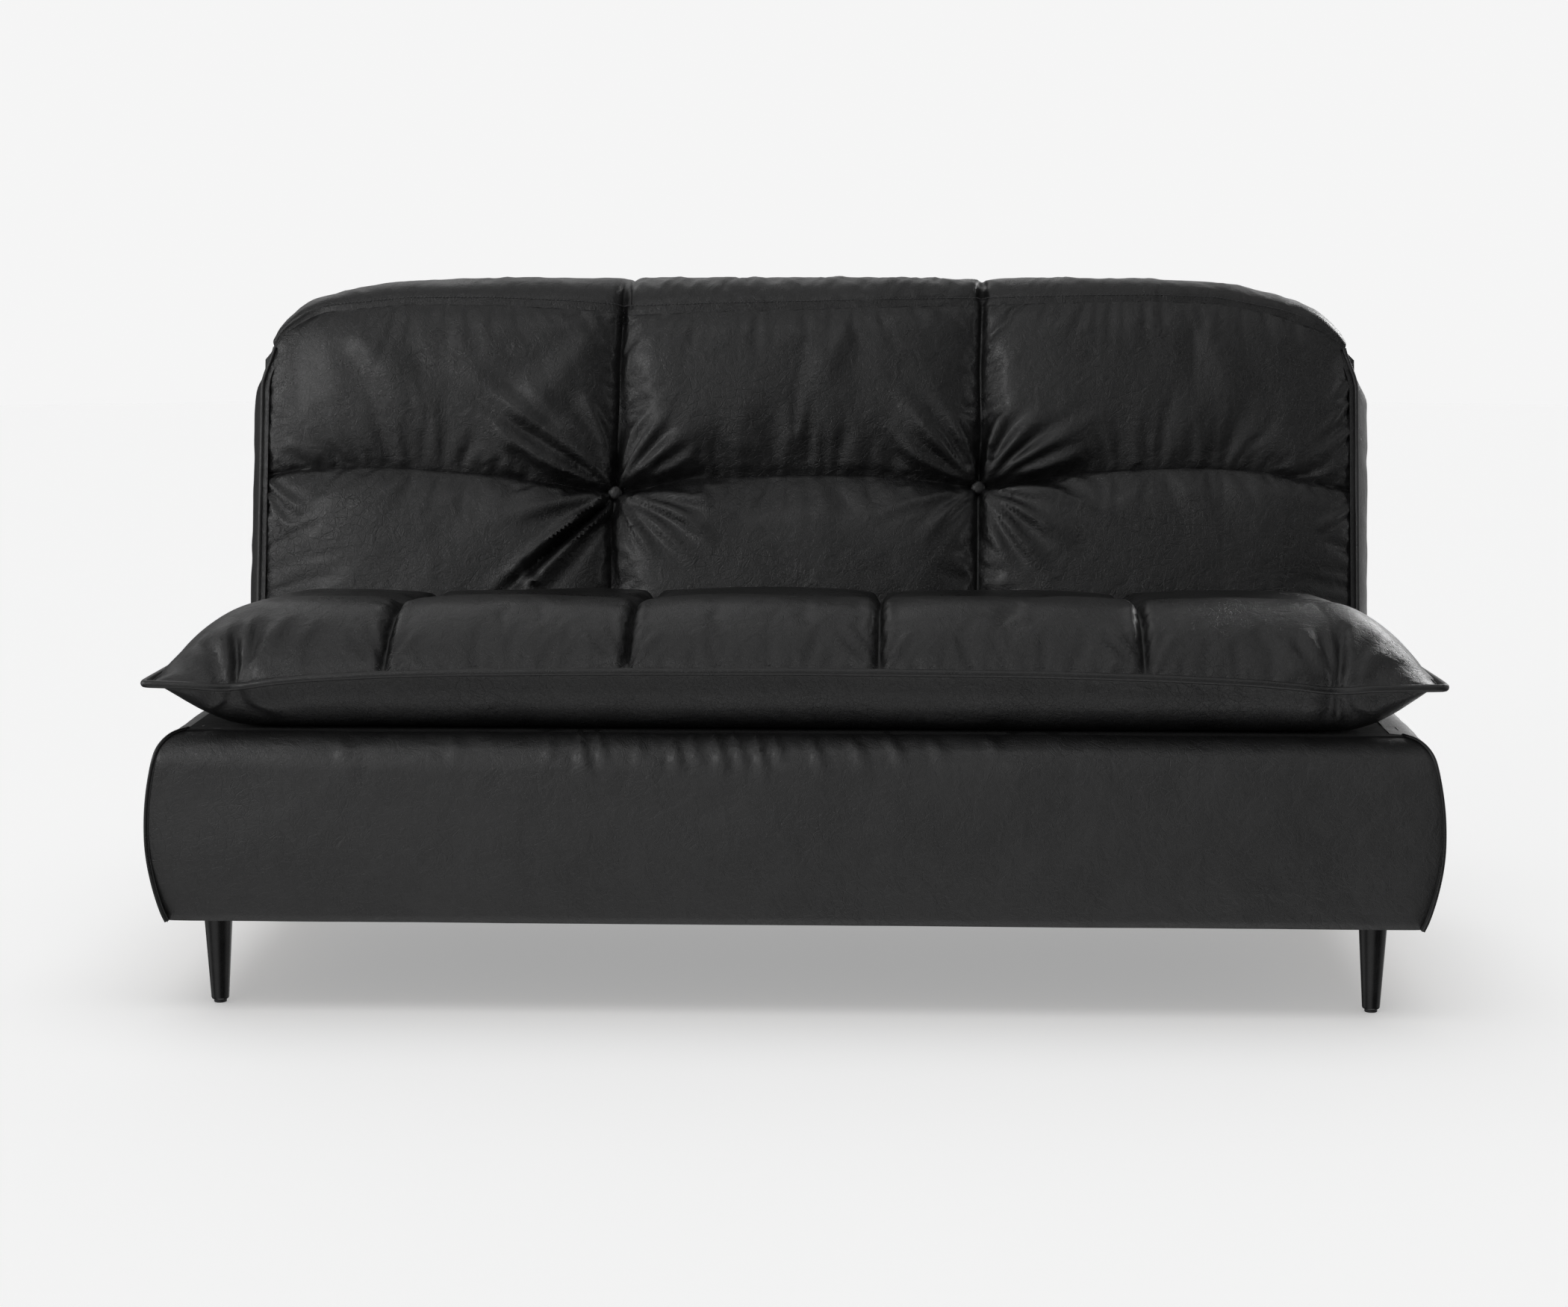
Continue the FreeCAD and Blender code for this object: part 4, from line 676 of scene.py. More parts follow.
BACK_FOLDS = [
    (4.6, 13, -283, 212, -327, 261, -433, 329, -506, 382), (3.8, 12, -288, 206, -380, 244, -515, 314),
    (4.2, 10, -274, 224, -297, 261, -342, 303, -378, 342),
    (3.4, 11, -284, 220, -340, 289, -400, 345, -430, 374), (2.6, 10, -277, 236, -288, 280, -330, 372),
    (2.4, 12, -300, 216, -400, 262, -470, 318, -560, 350), (4.4, 10, -262, 218, -230, 262, -184, 326),
    (3.8, 12, -256, 214, -205, 250, -140, 300), (3.2, 8, -264, 226, -246, 272, -226, 330),
    (2.6, 10, -250, 209, -190, 232, -110, 262), (4.4, 10, -254, 194, -174, 170, -112, 114),
    (4.0, 9, -250, 198, -150, 190, -60, 172), (4.2, 9, -260, 184, -226, 130, -200, 84),
    (3.4, 9, -256, 188, -196, 142, -142, 92), (-11.0, 8, -276, 192, -303, 162, -354, 118, -424, 50, -452, 22),
    (4.0, 12, -282, 172, -330, 116, -392, 52, -412, 20), (3.0, 8, -372, 66, -396, 76, -414, 92),
    (2.4, 11, -290, 196, -380, 172, -470, 150), (4.6, 9, 252, 226, 262, 270, 291, 355),
    (4.6, 10, 256, 222, 290, 268, 346, 320), (3.8, 10, 260, 218, 330, 262, 435, 316),
    (2.6, 10, 262, 214, 350, 240, 450, 262), (4.6, 11, 258, 206, 340, 202, 398, 180, 460, 154),
    (4.4, 10, 254, 200, 290, 146, 358, 66), (3.8, 10, 256, 202, 318, 166, 392, 112),
    (2.8, 10, 250, 196, 266, 130, 300, 70), (4.2, 11, 236, 224, 214, 290, 184, 346),
    (3.8, 12, 230, 220, 170, 286, 106, 362), (3.0, 11, 226, 214, 150, 250, 70, 300),
    (3.2, 10, 230, 200, 190, 160, 150, 116), (2.4, 10, 226, 204, 130, 180, 40, 150),
    (3.0, 9, -762, 212, -724, 178, -682, 154), (2.4, 8, -764, 196, -738, 150, -712, 124),
    (2.8, 8, 762, 330, 734, 296, 704, 268), (2.4, 8, 764, 360, 742, 318, 720, 306),
    (2.4, 8, 764, 290, 730, 262, 700, 246), (2.4, 9, 764, 180, 720, 150, 690, 140),
    (2.0, 26, -300, 420, -360, 340, -470, 260), (1.8, 30, -640, 430, -560, 340, -520, 250),
    (1.8, 28, 60, 440, 20, 360, 60, 280), (1.8, 30, 560, 440, 600, 340, 560, 260),
]


def back_relief(x, u):
    """How far the back's face stands in front of the hinge axis."""
    gaps = abs(x - left_seam(u)), abs(x - right_seam(u))
    gap_level, gap_top = abs(u - level_seam(x)), np.maximum(stitch_line(x) - u, 0.0)
    reaches = [np.hypot(x - bx, u - bu) for bx, bu in BUTTONS]
    near = fade(np.minimum(*reaches), 110)
    middle = smooth((x + 285) / 30) * smooth((258 - x) / 30)
    dip = np.zeros_like(x)
    for gap in gaps:
        dip += 9.5 * fade(gap, 60)
    dip += middle * 10 * fade(gap_level, 50) + (1 - middle) * (3.0 + 8 * near) * fade(gap_level, 40)
    groove = middle * 12 * bell(gap_level, 6.5, 1.8)
    groove += (1 - middle) * (6 + 5 * near) * bell(gap_level, 4.2, 1.8)
    for gap in gaps:
        groove = np.maximum(groove, (11 + 3 * near) * bell(gap, 5.2, 1.8))
    for r in reaches:
        dip += 17 * fade(r, 40) + 9 * bell(r, 15)
    dip += 0.8 * fade(gap_top, 26) + 0.5 * fade(gap_top, 2.5)
    edge = FACE_HALF - abs(x)
    dip += 15 * fade(edge, 24) + 11 * fade(edge, 80)
    w = BELLY - 38 * (1 - fade(dip, 38)) - groove
    w -= 34 * fade(u - FACE_LOW, 16)
    w += 1.8 * folds(x, u, BACK_FOLDS)
    for (cx, cu), r, seed in zip(BUTTONS, reaches, (11, 12)):
        turn = np.arctan2(u - cu, x - cx)
        fan = noise(turn * 5.4 + 40, r / 90 + 3, seed) + 0.6 * noise(turn * 11.0 + 70, r / 60 + 9, seed + 20)
        w += 2.3 * fan * fade(r, 85) * smooth((r - 8) / 26)
    for gap, seed in zip(gaps, (31, 32)):
        w += 1.3 * noise(u / 15 + 60, x / 42 + 50, seed) * fade(gap, 17) * smooth(gap / 7)
    w += 1.1 * noise(x / 15 + 90, u / 40 + 50, 33) * fade(gap_level, 15) * smooth(gap_level / 6)
    w += 0.9 * noise(x / 17 + 90, u / 40 + 50, 34) * fade(gap_top, 22) * smooth(gap_top / 5)
    w += 1.3 * noise(u / 19 + 90, x / 50 + 50, 35) * fade(edge, 24) * smooth(edge / 6)
    return w + 1.6 * ripple(x, u, 150, 120, 20, 41) + 0.55 * ripple(x, u, 46, 60, -25, 43)


def back_face():
    x0 = graded(-FACE_HALF, FACE_HALF, 5.4, 1.8, SEAM_X + (-FACE_HALF, FACE_HALF), 13)
    u0 = graded(FACE_LOW, TOP_U, 5.0, 1.8, (SEAM_U, TOP_U, FACE_LOW), 13)
    x0, u0 = np.meshgrid(x0, u0)
    u = u0
    for _ in range(3):
        shift_left, shift_right = left_seam(u) - SEAM_X[0], right_seam(u) - SEAM_X[1]
        share_left = np.clip(np.minimum((x0 + FACE_HALF) / 500, (SEAM_X[1] - x0) / 510), 0, 1)
        share_right = np.clip(np.minimum((FACE_HALF - x0) / 520, (x0 - SEAM_X[0]) / 510), 0, 1)
        x = x0 + shift_left * share_left + shift_right * share_right
        low = np.clip((u0 - FACE_LOW) / (SEAM_U - FACE_LOW), 0, 1)
        high = np.clip((u0 - SEAM_U) / (TOP_U - SEAM_U), 0, 1)
        u = u0 + (level_seam(x) - SEAM_U) * low * (1 - high) + (stitch_line(x) - TOP_U) * high
    tight = np.min([abs(x - left_seam(u)), abs(x - right_seam(u)), abs(u - level_seam(x))], 0) < 3
    for bx, bu in BUTTONS:
        tight |= np.hypot(x - bx, u - bu) < 14
    front = settle(back_place(x, u, back_relief(x, u)), tight, 0.02, 14.0)
    edge = rim(*x.shape)
    back_rim = back_place(x.ravel()[edge] * 0.985, np.clip(u.ravel()[edge], FACE_LOW + 8, None), 46.0)
    return backed("back_face", front, back_rim, LEATHER)


def rear_seam(x):
    """Height of the seam where the top band meets the rear cover."""
    return crest_line(x) - 26 + 19 * smooth((abs(x) - 640) / 90)


def band_section(x, turn):
    """The top band over the back, from its stitched front edge at 0 to its rear seam at pi."""
    start, crest = stitch_line(x), crest_line(x)
    finish = rear_seam(x)
    lift = crest - (start + finish) / 2
    square = 0.62 - 0.20 * smooth((abs(x) - 630) / 90)
    front = back_relief(x, start)
    w = (front + REAR_W) / 2 + (front - REAR_W) / 2 * np.cos(turn)
    u = start + (finish - start) * turn / np.pi + lift * abs(np.sin(turn)) ** square
    return u, w


def back_band():
    x = graded(-BAND_HALF, BAND_HALF, 5.2, 1.8, SEAM_X + (-BAND_HALF, BAND_HALF), 11)
    turn = graded(0, np.pi, 0.075, 0.03, (0.0, np.pi), 0.25)
    x0, turn = np.meshgrid(x, turn)
    seams = left_seam(CREST_U), right_seam(CREST_U)
    x = x0 + (seams[0] - SEAM_X[0]) * bell(x0 - SEAM_X[0], 120)
    x = x + (seams[1] - SEAM_X[1]) * bell(x0 - SEAM_X[1], 120)
    u, w = band_section(x, turn)
    outer = back_place(x, u, w)
    out = surface_normals(outer)
    front = smooth((1.9 - turn) / 0.9)
    between = smooth((x + 275) / 30) * smooth((275 - x) / 30)
    gap = np.minimum(abs(x - seams[0]), abs(x - seams[1]))
    pucker = noise((x + 46 * turn) / 15 + 80, turn * 1.3 + 40, 51)
    pucker += 0.5 * noise((x - 30 * turn) / 9 + 80, turn + 40, 52)
    rise = (1.1 + 1.5 * between) * pucker * front * np.sin(np.clip(turn, 0, np.pi)) ** 0.5
    rise += 1.5 * ripple(x, turn * 60, 90, 50, 15, 53) * np.sin(turn)
    rise -= 2.2 * fade(gap, 26) + 4.2 * bell(gap, 5, 1.3)
    rise -= 1.6 * bell(x - 172, 34) * bell(turn - 0.06, 0.09)
    rise += 3.2 * smooth((abs(x) - 680) / 35)
    rise *= smooth(turn / 0.12) * smooth((np.pi - turn) / 0.12) * (0.6 + 0.4 * smooth((BAND_HALF - abs(x)) / 10))
    outer = outer + out * rise[..., None]
    inner = outer - out * 4.0
    return skin("back_band", outer, inner, LEATHER)


def gusset_edge(u):
    """Half the width of the back at its front side seam."""
    return 770 - 18 * smooth((u - 345) / 70)


def gusset(side):
    share = graded(0, 1, 0.013, 0.0053, (0.0, 1.0, 0.934), 0.04)
    t = graded(0, 1, 0.032, 0.016, (0.0, 1.0), 0.1)
    share, t = np.meshgrid(share, t, indexing="ij")
    w = GUSSET_W[0] - GUSSET_W[1] * t
    end_u, end_w = band_section(np.full(400, side * BAND_HALF), np.linspace(0, np.pi, 400))
    top = np.interp(w, end_w[::-1], end_u[::-1]) - 1.5
    low = np.interp(w, *GUSSET_LOW)
    u = low + (top - low) * share
    swell = 24 * (1 - smooth((u - 330) / 86)) * smooth((u + 62) / 30)
    bulge = np.sin(np.pi * np.clip(t, 0, 1)) ** 0.72
    seed = 61 if side < 0 else 64
    crinkle = 1.2 * noise(u / 21 + 40, t * 3 + 30, seed) + 1.5 * ripple(u, t * 150, 90, 60, 20, seed + 1)
    x = gusset_edge(u) + (swell + crinkle * smooth(t / 0.2) * smooth((1 - t) / 0.2)) * bulge
    outer = back_place(side * x, u, w)
    inner = back_place(side * (gusset_edge(u) - 8), u, w)
    return skin("back_gusset_" + SIDES[side], outer, inner, LEATHER)


def by_hinge(x):
    """1 in front of a hinge, 0 away from it."""
    return smooth((abs(x) - HINGE_GAP[0] + 1) / 2) * smooth((HINGE_GAP[1] + 1 - abs(x)) / 2)


def back_underside():
    """Cloth-backed leather under the back, cut away round the hinges."""
    x = graded(-766, 766, 8.0, 1.6, HINGE_MARKS + (-766, 766), 9)
    x, t = np.meshgrid(x, graded(0, 1, 0.045, 0.02, (0.0, 1.0), 0.1))
    w = 48 - (109.5 - 100.5 * by_hinge(x)) * t
    slack = (1.6 + 0.8 * ripple(x, w, 60, 50, 10, 151)) * np.sin(np.pi * t)
    u = -63.5 + 18 * (48 - w) / 109.5 - slack
    return skin("back_underside", back_place(x, u, w), back_place(x, u + 2.4, w), LEATHER_BASE)


def hinge_lining(side):
    """Black cloth over the foam round a hinge: above and in front of it, and on its inner side."""
    run = [(-60, 28.6), (-20, 28.6), (20, 28.6), (34, 27.6), (37.6, 24), (37.6, 0), (37.6, -30), (37.6, -56)]
    run = bend(run, 2)
    x, k = np.meshgrid(np.linspace(655.2, 679, 5), np.arange(len(run)))
    w, u = run[k, 0], run[k, 1]
    over = layer(back_place(side * x, u, w), back_place(side * x, u + 1.0, w + 1.0))
    u, w = np.meshgrid(np.linspace(-46, 28.6, 16), np.linspace(-60, 37.6, 20))
    wall = layer(back_place(side * 656.0 + 0 * u, u, w), back_place(side * 654.8 + 0 * u, u, w))
    return make("hinge_lining_" + SIDES[side], *joined([over, wall]), FINISHES["black_cloth"])


def back_rear():
    x = graded(-REAR_HALF, REAR_HALF, 7.0, 1.6, HINGE_MARKS + (-REAR_HALF, REAR_HALF) + REAR_SEAMS, 9)
    t = graded(0, 1, 0.016, 0.005, (0.0, 1.0), 0.03)
    x, t = np.meshgrid(x, t)
    low = -45 + 77 * by_hinge(x)
    high = np.where(abs(x) < BAND_HALF, rear_seam(x), 415.0)
    u = low + (high - low) * t
    edge = np.minimum(REAR_HALF - abs(x), np.minimum((u - low) * 1.2, high - u))
    gap = np.minimum(abs(x - REAR_SEAMS[0]), abs(x - REAR_SEAMS[1]))
    soft = 3.2 * (1 - fade(np.maximum(edge, 0), 18)) - 1.6 * fade(gap, 14) - 1.4 * bell(gap, 3.5, 1.3)
    soft += (1.2 * ripple(x, u, 120, 140, 30, 71) + 0.7 * noise(x / 22 + 60, u / 90 + 40, 73)) * smooth(edge / 30)
    outer = back_place(x, u, REAR_W - np.clip(soft, -1.5, 6.0))
    inner = back_place(x, u, REAR_W + 4.0)
    return skin("back_rear", outer, inner, LEATHER)


def button(name, place):
    """A covered button: a dome of leather with a crimped edge on a short neck."""
    x, u = place
    w = float(back_relief(np.array([[x]], float), np.array([[u]], float))[0, 0]) + 5.5
    dome = [(0.4, 6.6), (4.0, 6.5), (8.2, 5.2), (10.3, 2.9), (10.5, 0.8), (9.0, -1.0), (4.5, -1.6), (3.4, -6.0)]
    profile = bend(dome, 2)
    turn = np.linspace(0, 2 * np.pi, 56, endpoint=False)
    r, h = profile[:, :1], profile[:, 1:]
    crimp = 1 + 0.016 * np.sin(turn * 14) * smooth((r - 6) / 4)
    points = back_place(x + r * crimp * np.cos(turn), u + r * crimp * np.sin(turn), w + h + 0 * turn)
    return make(name, points.reshape(-1, 3), ring_faces(*points.shape[:2]), LEATHER_CORD)


def cords(name, paths, radius):
    return make(name, *joined([tube(path, radius) for path in paths]), LEATHER_CORD)


def back_trim():
    """Piping down the side seams, and the stitching along the top band."""
    paths = []
    for side in SIDES:
        u = np.linspace(-44, 404, 160)
        paths.append(back_place(side * (gusset_edge(u) + 1.6), u, 83.5 + 0.5 * noise(u / 40, u * 0 + 3, 81)))
    piping = cords("back_piping", paths, 3.1)
    x = np.linspace(-735, 735, 900)
    u, w = band_section(x, np.full_like(x, 0.11))
    path = back_place(x, u, w + 0.6)
    out = back_place(0.0, 0.0, 1.0) - back_place(0.0, 0.0, 0.0)
    return piping, make("back_stitching", *stitches(path, out, 5.2, 3.7), THREAD)


# ---- seat

SEAT_FRONT = -416.5
SEAT_LONG = 572.0
SEAT_HALF = 789.0
SEAT_SEAMS = (-498.0, -200.0, 108.0, 431.0)
ROW_SEAM = 300.0
FLANGE = 3.0
KINKS = (-680.0, 661.0)
front_edge = line_through(
    11, -790, 417, -735, 415, -692, 411, -672, 413, -640, 419, -590, 424, -500, 429, -400, 432, -200, 434, 0, 435,
    300, 433, 450, 429, 560, 424, 620, 419, 652, 414, 672, 414, 700, 418, 790, 420
)
seat_half_at = line_through(
    12, 0, 789, 40, 788, 110, 784, 190, 779, 286, 776, 400, 778, 500, 783, 550, 786, 572, 788
)
crown_at = line_through(
    16, 0, 493, 90, 500, 140, 502, 195, 498, 250, 487, 300, 478, 345, 478, 410, 478, 480, 474, 572, 465
)
SEAT_BED = 353.8
CORD_OFFSET = 2.8
SEAT_FOLDS = [
    (7.5, 13, -686, 3, -696, 30, -712, 96), (6.5, 10, -676, 3, -670, 34, -686, 100),
    (5.0, 13, -670, 5, -640, 36, -618, 92), (3.5, 13, -664, 6, -612, 30, -570, 80),
    (3.0, 13, -694, 6, -728, 30, -750, 70), (7.0, 11, 654, 3, 640, 30, 620, 74),
    (6.0, 9, 662, 3, 660, 34, 648, 80), (6.0, 11, 670, 3, 682, 34, 690, 80),
    (4.0, 13, 676, 5, 708, 30, 730, 62), (3.0, 12, 646, 5, 604, 30, 576, 70),
]
UNDER_FOLDS = [
    (6, 9, -690, 2, -712, 14, -735, 40), (5, 10, -676, 2, -640, 18, -600, 30),
    (6, 8, 664, 2, 668, 20, 660, 46), (5, 9, 672, 2, 700, 12, 730, 34),
]
for seam in SEAT_SEAMS:
    SEAT_FOLDS += [
        (2.8, 7, seam - 8, 4, seam - 22, 30, seam - 52, 74),
        (2.2, 7, seam - 12, 4, seam - 44, 26, seam - 82, 52),
        (2.4, 7, seam + 9, 4, seam + 26, 28, seam + 50, 58),
    ]


def seat_place(x0, v, z):
    """A point of the seat: its sides and front edge pull in between the corners."""
    reach = smooth((abs(x0) - 560) / (SEAT_HALF - 560))
    x = x0 + np.sign(x0) * (seat_half_at(v) - SEAT_HALF) * reach
    pull = 6.5 * (1 - abs(x0 / SEAT_HALF) ** 6)
    for kink in KINKS:
        pull = pull + 7 * bell(x0 - kink, 20)
    y = SEAT_FRONT + v + pull * (1 - smooth(v / 160))
    y = y - 6 * (1 - abs(x0 / SEAT_HALF) ** 6) * smooth((v - 430) / 142)
    return xyz(x, y, z)


def seam_height(x0, v):
    return front_edge(x0) + (421 - front_edge(x0)) * smooth(v / 220)


def inside_seam(x0, v):
    """1 within the seat's outer seam, 0 on it."""
    return np.where((v <= 0) | (v >= SEAT_LONG) | (abs(x0) >= SEAT_HALF), 0.0, 1.0)


def parabola(distance, reach, power=1.0):
    t = np.clip(distance / reach, 0, 1)
    return (1 - (1 - t) ** 2) ** power


def seat_top(x0, v):
    seam = seam_height(x0, v)
    side = parabola(SEAT_HALF - FLANGE - abs(x0), 128, 0.88)
    rise = parabola(v - FLANGE, 133, 0.74) * side * parabola(SEAT_LONG - FLANGE - v, 76, 0.7)
    gap = np.min([abs(x0 - s) for s in SEAT_SEAMS], 0)
    row = abs(v - ROW_SEAM)
    room = smooth(rise / 0.42)
    z = (crown_at(v) + 3 * bell(x0 - 60, 260) - seam) * rise
    dip = 4.5 * fade(gap, 34) + 10.0 * bell(gap, 4.6, 1.7) + 2.5 * fade(row, 22) + 7 * bell(row, 5, 1.7)
    z -= dip * (0.25 + 0.75 * room)
    z += 2.4 * bell(gap - 13, 7) * room
    z += 1.5 * folds(x0, v, SEAT_FOLDS) * smooth(v / 7)
    for kink in KINKS:
        z -= 9 * fade(np.hypot(x0 - kink, v), 22) * smooth(v / 5)
    pucker = noise(x0 / 11 + 90, v / 26 + 50, 91) + 0.5 * noise(x0 / 6 + 90, v / 18 + 50, 92)
    z += 0.8 * pucker * fade(v, 20) * smooth(v / 6)
    z += 1.4 * noise(v / 14 + 40, x0 / 40 + 50, 93) * fade(gap, 15) * smooth(gap / 6) * room
    end = SEAT_HALF - abs(x0)
    z += 1.6 * noise(v / 24 + 40, x0 / 60 + 50, 94) * parabola(end, 30) * fade(end, 70)
    z += (2.0 * ripple(x0, v, 120, 110, 25, 95) + 0.9 * ripple(x0, v, 44, 60, -30, 97)) * room
    z -= 1.4 * bell(v - 8, 2.4)
    return seam + np.maximum(z, 0.6) * inside_seam(x0, v)


def seat_under(x0, v):
    seam = seam_height(x0, v)
    side = parabola(SEAT_HALF - FLANGE - abs(x0), 120, 0.95)
    fall = parabola(v - FLANGE, 72, 0.72) * side * parabola(SEAT_LONG - FLANGE - v, 46, 0.8)
    z = (seam - SEAT_BED) * fall
    pucker = noise(x0 / 9 + 20, v / 30 + 50, 101) + 0.5 * noise(x0 / 5.5 + 20, v / 20 + 50, 102)
    share = 0.35 + smooth((x0 - 290) / 40) * smooth((670 - x0) / 40)
    z += 2.4 * share * pucker * fade(v, 16) * smooth(v / 4)
    z += 1.5 * ripple(x0, v, 110, 60, 10, 103) * smooth(fall / 0.3) * (1 - smooth((fall - 0.8) / 0.15))
    z += folds(x0, v, UNDER_FOLDS) * smooth(v / 6)
    z -= 4.5 * bell(v - 7, 4.0)
    return seam - np.clip(z, 0.6, seam - SEAT_BED) * inside_seam(x0, v)


def seat_cushion():
    x = graded(-SEAT_HALF, SEAT_HALF, 5.6, 1.9, SEAT_SEAMS + KINKS + (-SEAT_HALF, SEAT_HALF), 12)
    over = graded(0, SEAT_LONG, 6.0, 2.0, (0, ROW_SEAM, SEAT_LONG), 14)
    below = graded(0, SEAT_LONG, 13.0, 2.4, (0, 14, SEAT_LONG), 30)
    x_over, v_over = np.meshgrid(x, over)
    x_below, v_below = np.meshgrid(x, below[::-1])
    tight = (np.min([abs(x_over - s) for s in SEAT_SEAMS], 0) < 3) | (abs(v_over - ROW_SEAM) < 3)
    top = settle(seat_place(x_over, v_over, seat_top(x_over, v_over)), tight, 0.015, 9.0)
    bottom = seat_place(x_below, v_below, seat_under(x_below, v_below))
    ring = np.concatenate([top, bottom])
    return make("seat_cushion", ring, grid_faces(*ring.shape[:2]), LEATHER, weld=0.05)


def seam_run(x0, v):
    return seat_place(x0, v, seam_height(x0, v))


def seat_edge_path():
    """The seam round the seat, corners eased."""
    x = np.linspace(-SEAT_HALF + 3, SEAT_HALF - 3, 700)
    v = np.linspace(3, SEAT_LONG - 3, 260)
    front, right = seam_run(x, 0 * x), seam_run(0 * v + SEAT_HALF, v)
    rear, left = seam_run(x[::-1], 0 * x + SEAT_LONG), seam_run(0 * v - SEAT_HALF, v[::-1])
    path = np.concatenate([front, right, rear, left])
    outward = np.sign(path[:, :2] - [0, SEAT_FRONT + SEAT_LONG / 2])
    at_border = np.stack([abs(path[:, 0]) > 765, (path[:, 1] < -395) | (path[:, 1] > 135)], -1)
    path[:, :2] += CORD_OFFSET * outward * at_border
    path = resample(np.concatenate([path, path[:1]]), 2.4)[:-1]
    for _ in range(8):
        path = (np.roll(path, 1, 0) + 2 * path + np.roll(path, -1, 0)) / 4
    return path


def seat_trim():
    piping = make("seat_cord", *tube(seat_edge_path(), 4.8, 12, closed=True), LEATHER_CORD)
    x = np.linspace(-775, 775, 1500)
    v = 0 * x + 8.0
    parts = [stitches(seat_place(x, v, seat_top(x, v)), np.array([0.0, -0.8, 0.6]), radius=0.55)]
    v = np.linspace(14, SEAT_LONG - 14, 400)
    for side in SIDES:
        edge = side * (SEAT_HALF - 6.0) + 0 * v
        parts.append(stitches(seat_place(edge, v, seat_top(edge, v)), np.array([side * 0.6, 0.0, 0.8])))
    return piping, make("seat_stitching", *joined(parts), THREAD)


# ---- base

BASE_FRONT = -402.5
ARC = 45.0
ARC_Z = 307.5
HEM_Z = 115.6
BASE_REAR = 312.0
STEP_Y = 147.2
DECK_FRONT = 147.6
DECK_Z = 313.5
SIDE_LOW = [(776, 115.6), (783, 130), (793, 165), (799.5, 205), (799.5, 245)]
SIDE_SHAPE = bend(SIDE_LOW + [(796, 280), (789, 315), (784, 334), (772, 348), (757, 352.6), (735, 353.4)])
STEP_SHAPE = bend(SIDE_LOW + [(796, 275), (791, 300), (788, 310), (780, 313.2), (765, 313.5), (749, 313.6)])


def side_at(z):
    """Half the width of the base at height z."""
    return np.interp(z, SIDE_SHAPE[:, 1], SIDE_SHAPE[:, 0])


def front_profile(flat, steps):
    """Places behind the front and heights of the base's front: the flat part, then the arc over its top edge."""
    arc = np.linspace(0, math.pi / 2, steps)[1:]
    y = np.concatenate([0 * flat + BASE_FRONT, BASE_FRONT + ARC * (1 - np.cos(arc))])
    return y, np.concatenate([flat, ARC_Z + ARC * np.sin(arc)])


BASE_GATHERS = [
    (2.4, 8, -262, 352, -256, 330, -244, 296), (2.2, 7, -240, 352, -232, 330, -226, 308),
    (1.6, 8, -300, 350, -296, 330, -292, 314), (1.8, 7, -190, 350, -186, 330, -180, 316),
    (2.2, 8, -150, 352, -140, 328, -134, 296), (2.0, 7, -124, 352, -118, 330, -108, 312),
    (2.3, 8, -96, 352, -84, 326, -80, 296), (2.1, 7, -72, 352, -62, 330, -54, 304),
    (2.3, 7, -44, 352, -36, 326, -28, 292), (1.8, 7, -22, 350, -14, 330, -8, 314),
    (1.9, 8, 22, 350, 34, 326, 48, 300), (1.6, 8, 70, 350, 84, 330, 98, 308),
    (1.7, 8, 118, 350, 130, 332, 146, 312), (1.3, 9, 170, 350, 182, 332, 196, 318),
    (1.2, 9, 240, 350, 250, 334, 262, 322), (1.2, 10, -420, 350, -412, 330, -402, 318),
    (1.1, 9, -560, 346, -552, 330, -540, 318),
]


def base_front():
    y, z = front_profile(graded(HEM_Z, ARC_Z, 6.5, 2.5, (HEM_Z,), 10), 22)
    share = graded(-1, 1, 0.0075, 0.0022, (-1.0, 1.0), 0.02)
    a, z = np.meshgrid(share, z)
    y = np.broadcast_to(y[:, None], z.shape)
    x = a * (side_at(z) - 2.5)
    outer = xyz(x, y, z)
    out = -surface_normals(outer)
    out *= np.where(out[..., 1:2] > out[..., 2:3], -1.0, 1.0)
    hang = np.clip((352.5 - z) / 237, 0, 1)
    outer[..., 1] = y + 10 * np.clip((hang - 0.45) / 0.55, 0, 1) ** 2
    rise = 1.6 * np.sin(np.pi * hang) ** 0.8 * (1 - a**8)
    rise += 1.8 * folds(x, z, BASE_GATHERS)
    rise += 0.8 * noise(x / 17 + 90, z / 60 + 30, 111) * fade(352 - z, 30)
    waves = 1.2 * ripple(x, z, 190, 90, 8, 112) + 0.4 * ripple(x, z, 60, 44, -20, 114)
    rise += waves * smooth((1 - abs(a)) / 0.05)
    rise -= 1.4 * fade((1 - abs(a)) * 800, 7) + 2.0 * bell(z - HEM_Z, 5)
    rise = np.maximum(rise, -1.0 - 2.5 * smooth((320 - z) / 20))
    outer = outer + out * rise[..., None]
    return skin("base_front", outer, outer - out * 3.2, LEATHER_BASE)


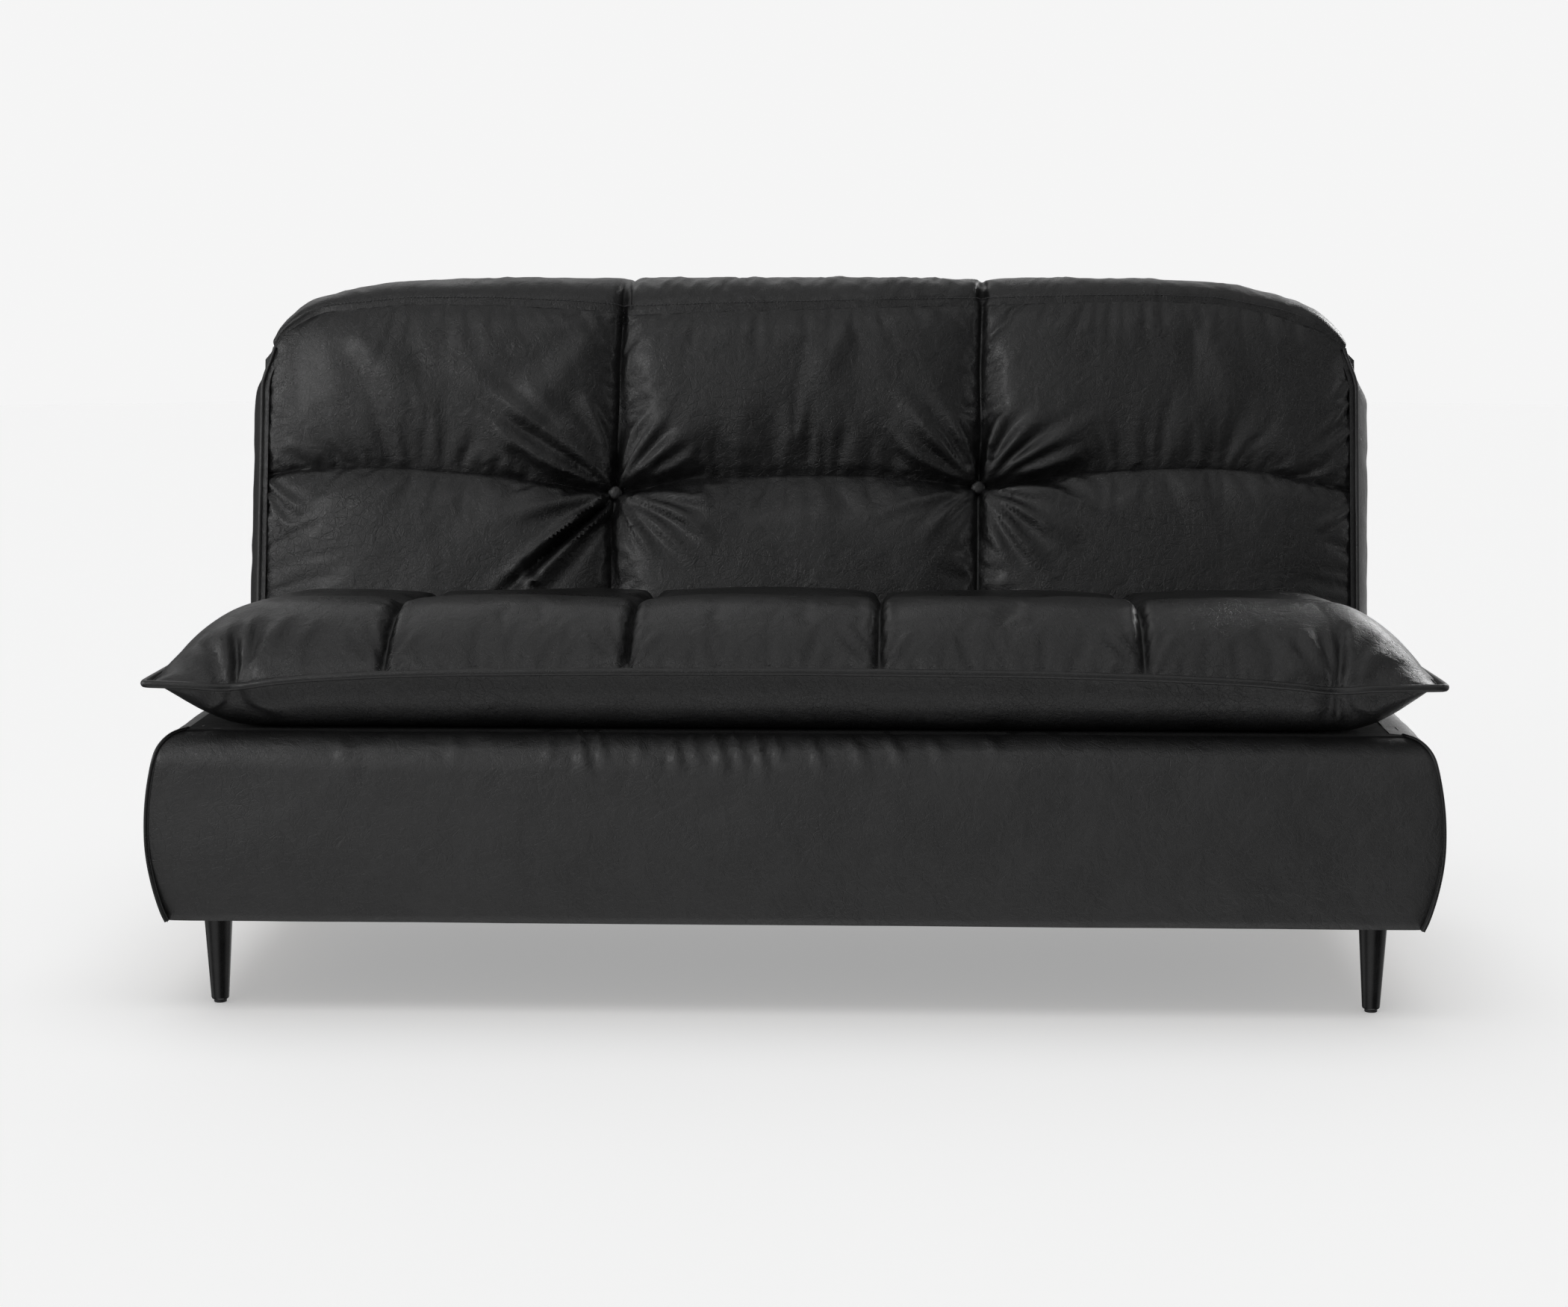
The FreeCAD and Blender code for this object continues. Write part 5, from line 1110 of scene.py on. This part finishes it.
def base_side(side):
    y = graded(BASE_FRONT, BASE_REAR, 8.0, 1.6, (BASE_FRONT, BASE_FRONT + 20, 146.5, BASE_REAR), 16)
    sections = []
    for at in y:
        shape = SIDE_SHAPE if at < STEP_Y else STEP_SHAPE
        run = np.concatenate([[0.0], np.cumsum(np.hypot(*np.diff(shape, axis=0).T))])
        last = run[-1]
        if at < BASE_FRONT + ARC:
            top = ARC_Z + math.sqrt(max(ARC**2 - (BASE_FRONT + ARC - at) ** 2, 0.0))
            last = np.interp(top, shape[:, 1], run)
        s = np.linspace(0, last, 72)
        sections.append(xyz(np.interp(s, run, shape[:, 0]), at, np.interp(s, run, shape[:, 1])))
    outer = np.array(sections)
    out = surface_normals(outer)
    out *= np.where(out[..., :1] < 0, -1.0, 1.0)
    yy, zz = outer[..., 1], outer[..., 2]
    edge = np.minimum(yy - BASE_FRONT, BASE_REAR - yy)
    seed = 121 if side < 0 else 124
    rise = 1.1 * ripple(yy, zz, 150, 80, 15, seed) + 0.5 * noise(yy / 20 + 50, zz / 60 + 40, seed + 2)
    rise *= smooth(edge / 40)
    rise *= smooth((zz - HEM_Z) / 12)
    rise -= 2.4 * fade(np.maximum(edge, 0), 7)
    outer = outer + out * np.clip(rise, -2.5, 1.2)[..., None]
    outer[..., 0] = np.minimum(outer[..., 0], 800.5)
    inner = outer - out * 3.2
    for grid in (outer, inner):
        grid[..., 0] *= side
    return skin("base_side_" + SIDES[side], outer, inner, LEATHER_BASE)


def base_rear():
    z = graded(HEM_Z, DECK_Z, 7.0, 2.5, (HEM_Z, DECK_Z), 10)
    share = graded(-1, 1, 0.009, 0.003, (-1.0, 1.0), 0.02)
    a, z = np.meshgrid(share, z)
    x = a * (side_at(z) - 2.5)
    edge = np.minimum(np.minimum(z - HEM_Z, DECK_Z - z), (1 - abs(a)) * 790)
    rise = 0.9 * ripple(x, z, 160, 90, 12, 131) + 0.5 * noise(x / 24, z / 60, 133)
    rise = 2.6 * (1 - fade(edge, 14)) + rise * smooth(edge / 25)
    return skin("base_rear", xyz(x, 311.6 + np.clip(rise, 0, 5), z), xyz(x, 309.2, z), LEATHER_BASE)


def base_deck():
    x = graded(-750, 750, 9.0, 3.0, (-750, 750), 12)
    y = graded(DECK_FRONT, 310, 7.0, 2.5, (DECK_FRONT, 310), 8)
    x, y = np.meshgrid(x, y)
    edge = np.minimum(np.minimum(y - DECK_FRONT, 310 - y), 750 - abs(x))
    z = 313.3 + 0.9 * (1 - fade(edge, 12)) * (1 + 0.6 * ripple(x, y, 70, 60, 20, 141))
    return skin("base_deck", xyz(x, y, z), xyz(x, y, 306.0), LEATHER_BASE)


def base_trim():
    """Welts along the front and rear side seams, and a light row of stitches beside the front ones."""
    paths, parts = [], []
    upright = np.linspace(HEM_Z + 1, ARC_Z, 60)
    y, z = front_profile(upright, 26)
    for side in SIDES:
        paths.append(xyz(side * (side_at(z) - 2.2), y - 0.4, z + 0.2))
        paths.append(xyz(side * (side_at(upright) - 2.2), BASE_REAR + 0.6, upright))
        parts.append(stitches(xyz(side * (side_at(z) - 0.9), y + 7.5, z), np.array([side, 0.0, 0.0])))
    welts = cords("base_welts", paths, 2.3)
    return welts, make("base_stitching", *joined(parts), THREAD)


# ---- assembly

def fit(piece, body, stands_for=()):
    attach(piece, body)
    if stands_for:
        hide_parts(*stands_for)
    return piece


face = fit(back_face(), "back", ("back_cushion",))
band = fit(back_band(), "back", ("back_top_panel",))
gusset_left = fit(gusset(-1), "back", ("back_side_panel_left",))
gusset_right = fit(gusset(1), "back", ("back_side_panel_right",))
fit(back_rear(), "back", ("back_rear_cover",))
fit(back_underside(), "back")
fit(hinge_lining(-1), "back")
fit(hinge_lining(1), "back")
fit(button("button_left", BUTTONS[0]), "back", ("tuft_button_left",))
fit(button("button_right", BUTTONS[1]), "back", ("tuft_button_right",))
for piece in back_trim():
    fit(piece, "back")
seat = fit(seat_cushion(), "base", ("seat_pillow",))
cord, seat_thread = seat_trim()
fit(cord, "base", ("seat_piping",))
fit(seat_thread, "base")
fit(base_front(), "base", ("base_front_cover",))
fit(base_side(-1), "base", ("base_side_cover_left",))
fit(base_side(1), "base", ("base_side_cover_right",))
fit(base_rear(), "base", ("base_rear_cover",))
fit(base_deck(), "base", ("rear_deck_cover",))
for piece in base_trim():
    fit(piece, "base")
